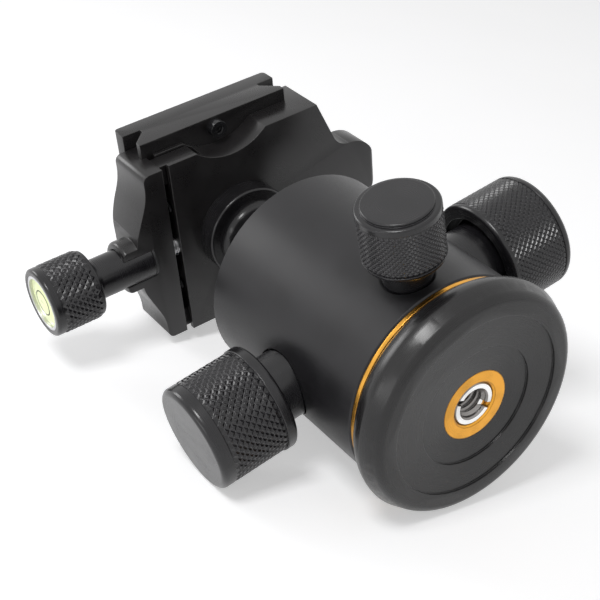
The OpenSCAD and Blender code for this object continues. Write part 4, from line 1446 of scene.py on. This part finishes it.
@dataclass(frozen=True)
class Softbox:
    """A square soft lamp.

    Args:
        name: Its name.
        toward: Direction from the head to the lamp.
        distance: Distance from the head, in metres.
        size: Length of its side, in metres.
        level: Light that it gives to a face turned to it, where 1 shows white as white.
    """

    name: str
    toward: Triple
    distance: float
    size: float
    level: float

    def hang(self, aim: Vector) -> None:
        """Hangs the lamp.

        Args:
            aim: Point that it lights.
        """
        light = bpy.data.lights.new(self.name, "AREA")
        light.shape = "SQUARE"
        light.size = self.size
        # A soft lamp of one watt lights a face that is one metre away to 1 / pi**2 of white.
        light.energy = self.level * math.pi**2 * self.distance**2
        made = bpy.data.objects.new(self.name, light)
        direction = Vector(self.toward).normalized()
        made.location = aim + direction * self.distance
        made.rotation_mode = "QUATERNION"
        made.rotation_quaternion = direction.to_track_quat("Z", "Y")
        bpy.context.scene.collection.objects.link(made)


@dataclass
class Studio:
    """The floor that the head lies on, the lamps and the camera.

    Args:
        eye: Place of the camera.
        right: Direction that the camera shows as right.
        up: Direction that it shows as up.
        lens: Its focal length.
        sensor: Width of its sensor.
        near: Nearest distance that it sees, in metres.
        far: Farthest distance that it sees, in metres.
        rests_on: Nodes that the head rests on when it lies on its side.
        down_guess: Direction that is down, about.
        floor_half: Half the length of the floor's side, in metres.
        floor_colour: Colour of the floor.
        floor_glow: Light that the floor adds where it is seen or mirrored.
        ambient: Strength of the world where it only lights.
        lamps: The soft lamps.
    """

    eye: Triple = (-103.667, -180.528, -137.519)
    right: Triple = (0.80105, 0.1648, -0.57547)
    up: Triple = (0.4847, -0.74269, 0.46202)
    lens: float = 78.377
    sensor: float = 36.0
    near: float = 0.01
    far: float = 10.0
    rests_on: tuple[str, ...] = ("base_disc", "lock_knob", "plate")
    down_guess: Triple = (-0.37, 0.93, -0.05)
    floor_half: float = 6.0
    floor_colour: Colour = (0.86, 0.86, 0.87)
    floor_glow: float = 0.44
    ambient: float = 0.36
    lamps: tuple[Softbox, ...] = (
        Softbox("key_softbox", toward=(-0.18, -0.98, -0.12), distance=0.6, size=0.17, level=0.42),
        Softbox("back_softbox", toward=(-0.3, -0.45, 0.85), distance=0.6, size=0.25, level=0.26),
        Softbox("side_softbox", toward=(-0.95, -0.25, -0.15), distance=0.6, size=0.35, level=0.24),
    )

    def build(self) -> None:
        """Sets up the whole studio."""
        down, reach = self.resting_plane()
        middle = (MODEL_BOX[0] + MODEL_BOX[1]) / 2
        self.floor(down, reach, middle)
        self.world()
        self.camera()
        for lamp in self.lamps:
            lamp.hang(middle)
        bpy.context.scene.view_settings.view_transform = "Standard"

    def resting_plane(self) -> tuple[Vector, float]:
        """Finds the plane that the head comes to rest on when it lies on its side.

        Returns:
            The direction down to the floor, and how far down the floor is, in metres.
        """
        digits = 6
        mesh = bmesh.new()
        for node in self.rests_on:
            mesh.from_mesh(frame["nodes"][node].data)
        loose = {tuple(round(c, digits) for c in v.co) for v in mesh.verts}
        mesh.clear()
        for place in sorted(loose):
            mesh.verts.new(place)
        bmesh.ops.convex_hull(mesh, input=mesh.verts)
        guess = Vector(self.down_guess).normalized()
        facet = max(mesh.faces, key=lambda face: face.normal.dot(guess))
        down = facet.normal.copy()
        reach = max(down.dot(v.co) for v in mesh.verts)
        mesh.free()
        return down, reach

    def floor(self, down: Vector, reach: float, middle: Vector) -> None:
        """Lays the floor.

        Args:
            down: Direction down to it.
            reach: How far down it is, in metres.
            middle: Point above its middle.
        """
        centre = middle + down * (reach - middle.dot(down))
        side = down.orthogonal().normalized()
        other = down.cross(side)
        mesh = bmesh.new()
        corners = [
            mesh.verts.new(centre + (side * a + other * b) * self.floor_half)
            for a, b in ((-1, -1), (1, -1), (1, 1), (-1, 1))
        ]
        face = mesh.faces.new(corners)
        face.normal_update()
        if face.normal.dot(down) > 0:
            face.normal_flip()
        made = solid_object("studio_floor", mesh)
        made.data.materials.append(self.floor_material())

    def floor_material(self) -> bpy.types.Material:
        """Makes the pale floor, which keeps shadows and lets a camera behind it see through.

        Returns:
            The material.
        """
        cloud_size = 60.0
        darkest = 0.985
        made = bpy.data.materials.new("pale_floor")
        sheet = Sheet(made)
        cloud = sheet.noise(sheet.place(), cloud_size)
        tint = tuple(darkest * c for c in self.floor_colour)
        matt = sheet.node("BsdfDiffuse")
        sheet.feed(matt.inputs["Color"], sheet.mix(sheet.between(cloud, 0, 1), self.floor_colour, tint))
        path = sheet.node("LightPath")
        glow = sheet.node("Emission")
        seen = sheet.math("ADD!", path.outputs["Is Camera Ray"], path.outputs["Is Glossy Ray"])
        sheet.feed(glow.inputs["Strength"], sheet.math("MULTIPLY", seen, self.floor_glow))
        lit = sheet.node("AddShader")
        sheet.feed(lit.inputs[0], matt.outputs[0])
        sheet.feed(lit.inputs[1], glow.outputs[0])
        behind = sheet.math(
            "MULTIPLY", path.outputs["Is Camera Ray"], sheet.node("NewGeometry").outputs["Backfacing"]
        )
        both = sheet.node("MixShader")
        sheet.feed(both.inputs[0], behind)
        sheet.feed(both.inputs[1], lit.outputs[0])
        sheet.feed(both.inputs[2], sheet.node("BsdfTransparent").outputs[0])
        sheet.show(both)
        return made

    def world(self) -> None:
        """Makes a white world for what is seen, and a softer one for what it lights."""
        world = bpy.data.worlds.new("studio")
        bpy.context.scene.world = world
        sheet = Sheet(world)
        path = sheet.node("LightPath")
        seen = path.outputs["Is Camera Ray"]
        for ray in ("Is Glossy Ray", "Is Transmission Ray"):
            seen = sheet.math("ADD!", seen, path.outputs[ray])
        strength = sheet.node("MapRange")
        sheet.feed(strength.inputs["Value"], seen)
        sheet.feed(strength.inputs["To Min"], self.ambient)
        sheet.feed(strength.inputs["To Max"], 1.0)
        back = sheet.node("Background")
        sheet.feed(back.inputs["Color"], (1.0, 1.0, 1.0))
        sheet.feed(back.inputs["Strength"], strength.outputs["Result"])
        sheet.show(back, "OutputWorld")

    def camera(self) -> None:
        """Places the camera at the photograph's viewing angle."""
        data = bpy.data.cameras.new("camera")
        data.sensor_width = self.sensor
        data.lens = self.lens
        data.clip_start = self.near
        data.clip_end = self.far
        made = bpy.data.objects.new("camera", data)
        right = Vector(self.right).normalized()
        up = Vector(self.up)
        up = (up - right * up.dot(right)).normalized()
        turned = Matrix((right, up, right.cross(up))).transposed().to_4x4()
        made.matrix_world = Matrix.Translation(Vector(self.eye) * MM) @ turned
        bpy.context.scene.collection.objects.link(made)
        bpy.context.scene.camera = made


def main() -> None:
    """Builds the head, sub-assembly by sub-assembly, and the studio round it."""
    logging.basicConfig(level=logging.INFO, format="%(name)s %(message)s")
    parts: Sequence[SubAssembly] = (
        Base(),
        Housing(),
        BallAndCup(),
        Knob("lock", "lock_turn", Knurl(crest_r=11.15, around=40, rows=7)),
        Knob("friction", "friction_turn", Knurl(crest_r=12.94, around=60, rows=9, flat=0.5)),
        Knob("pan", "pan_lock_turn", Knurl(crest_r=8.05, around=48, rows=9), Shelf.PLASTIC),
        Clamp(),
        ClampKnob(),
        CameraPlate(),
    )
    for part in parts:
        part.build()
        part.report()
    Studio().build()
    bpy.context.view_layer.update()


if __name__ == "__main__":
    main()
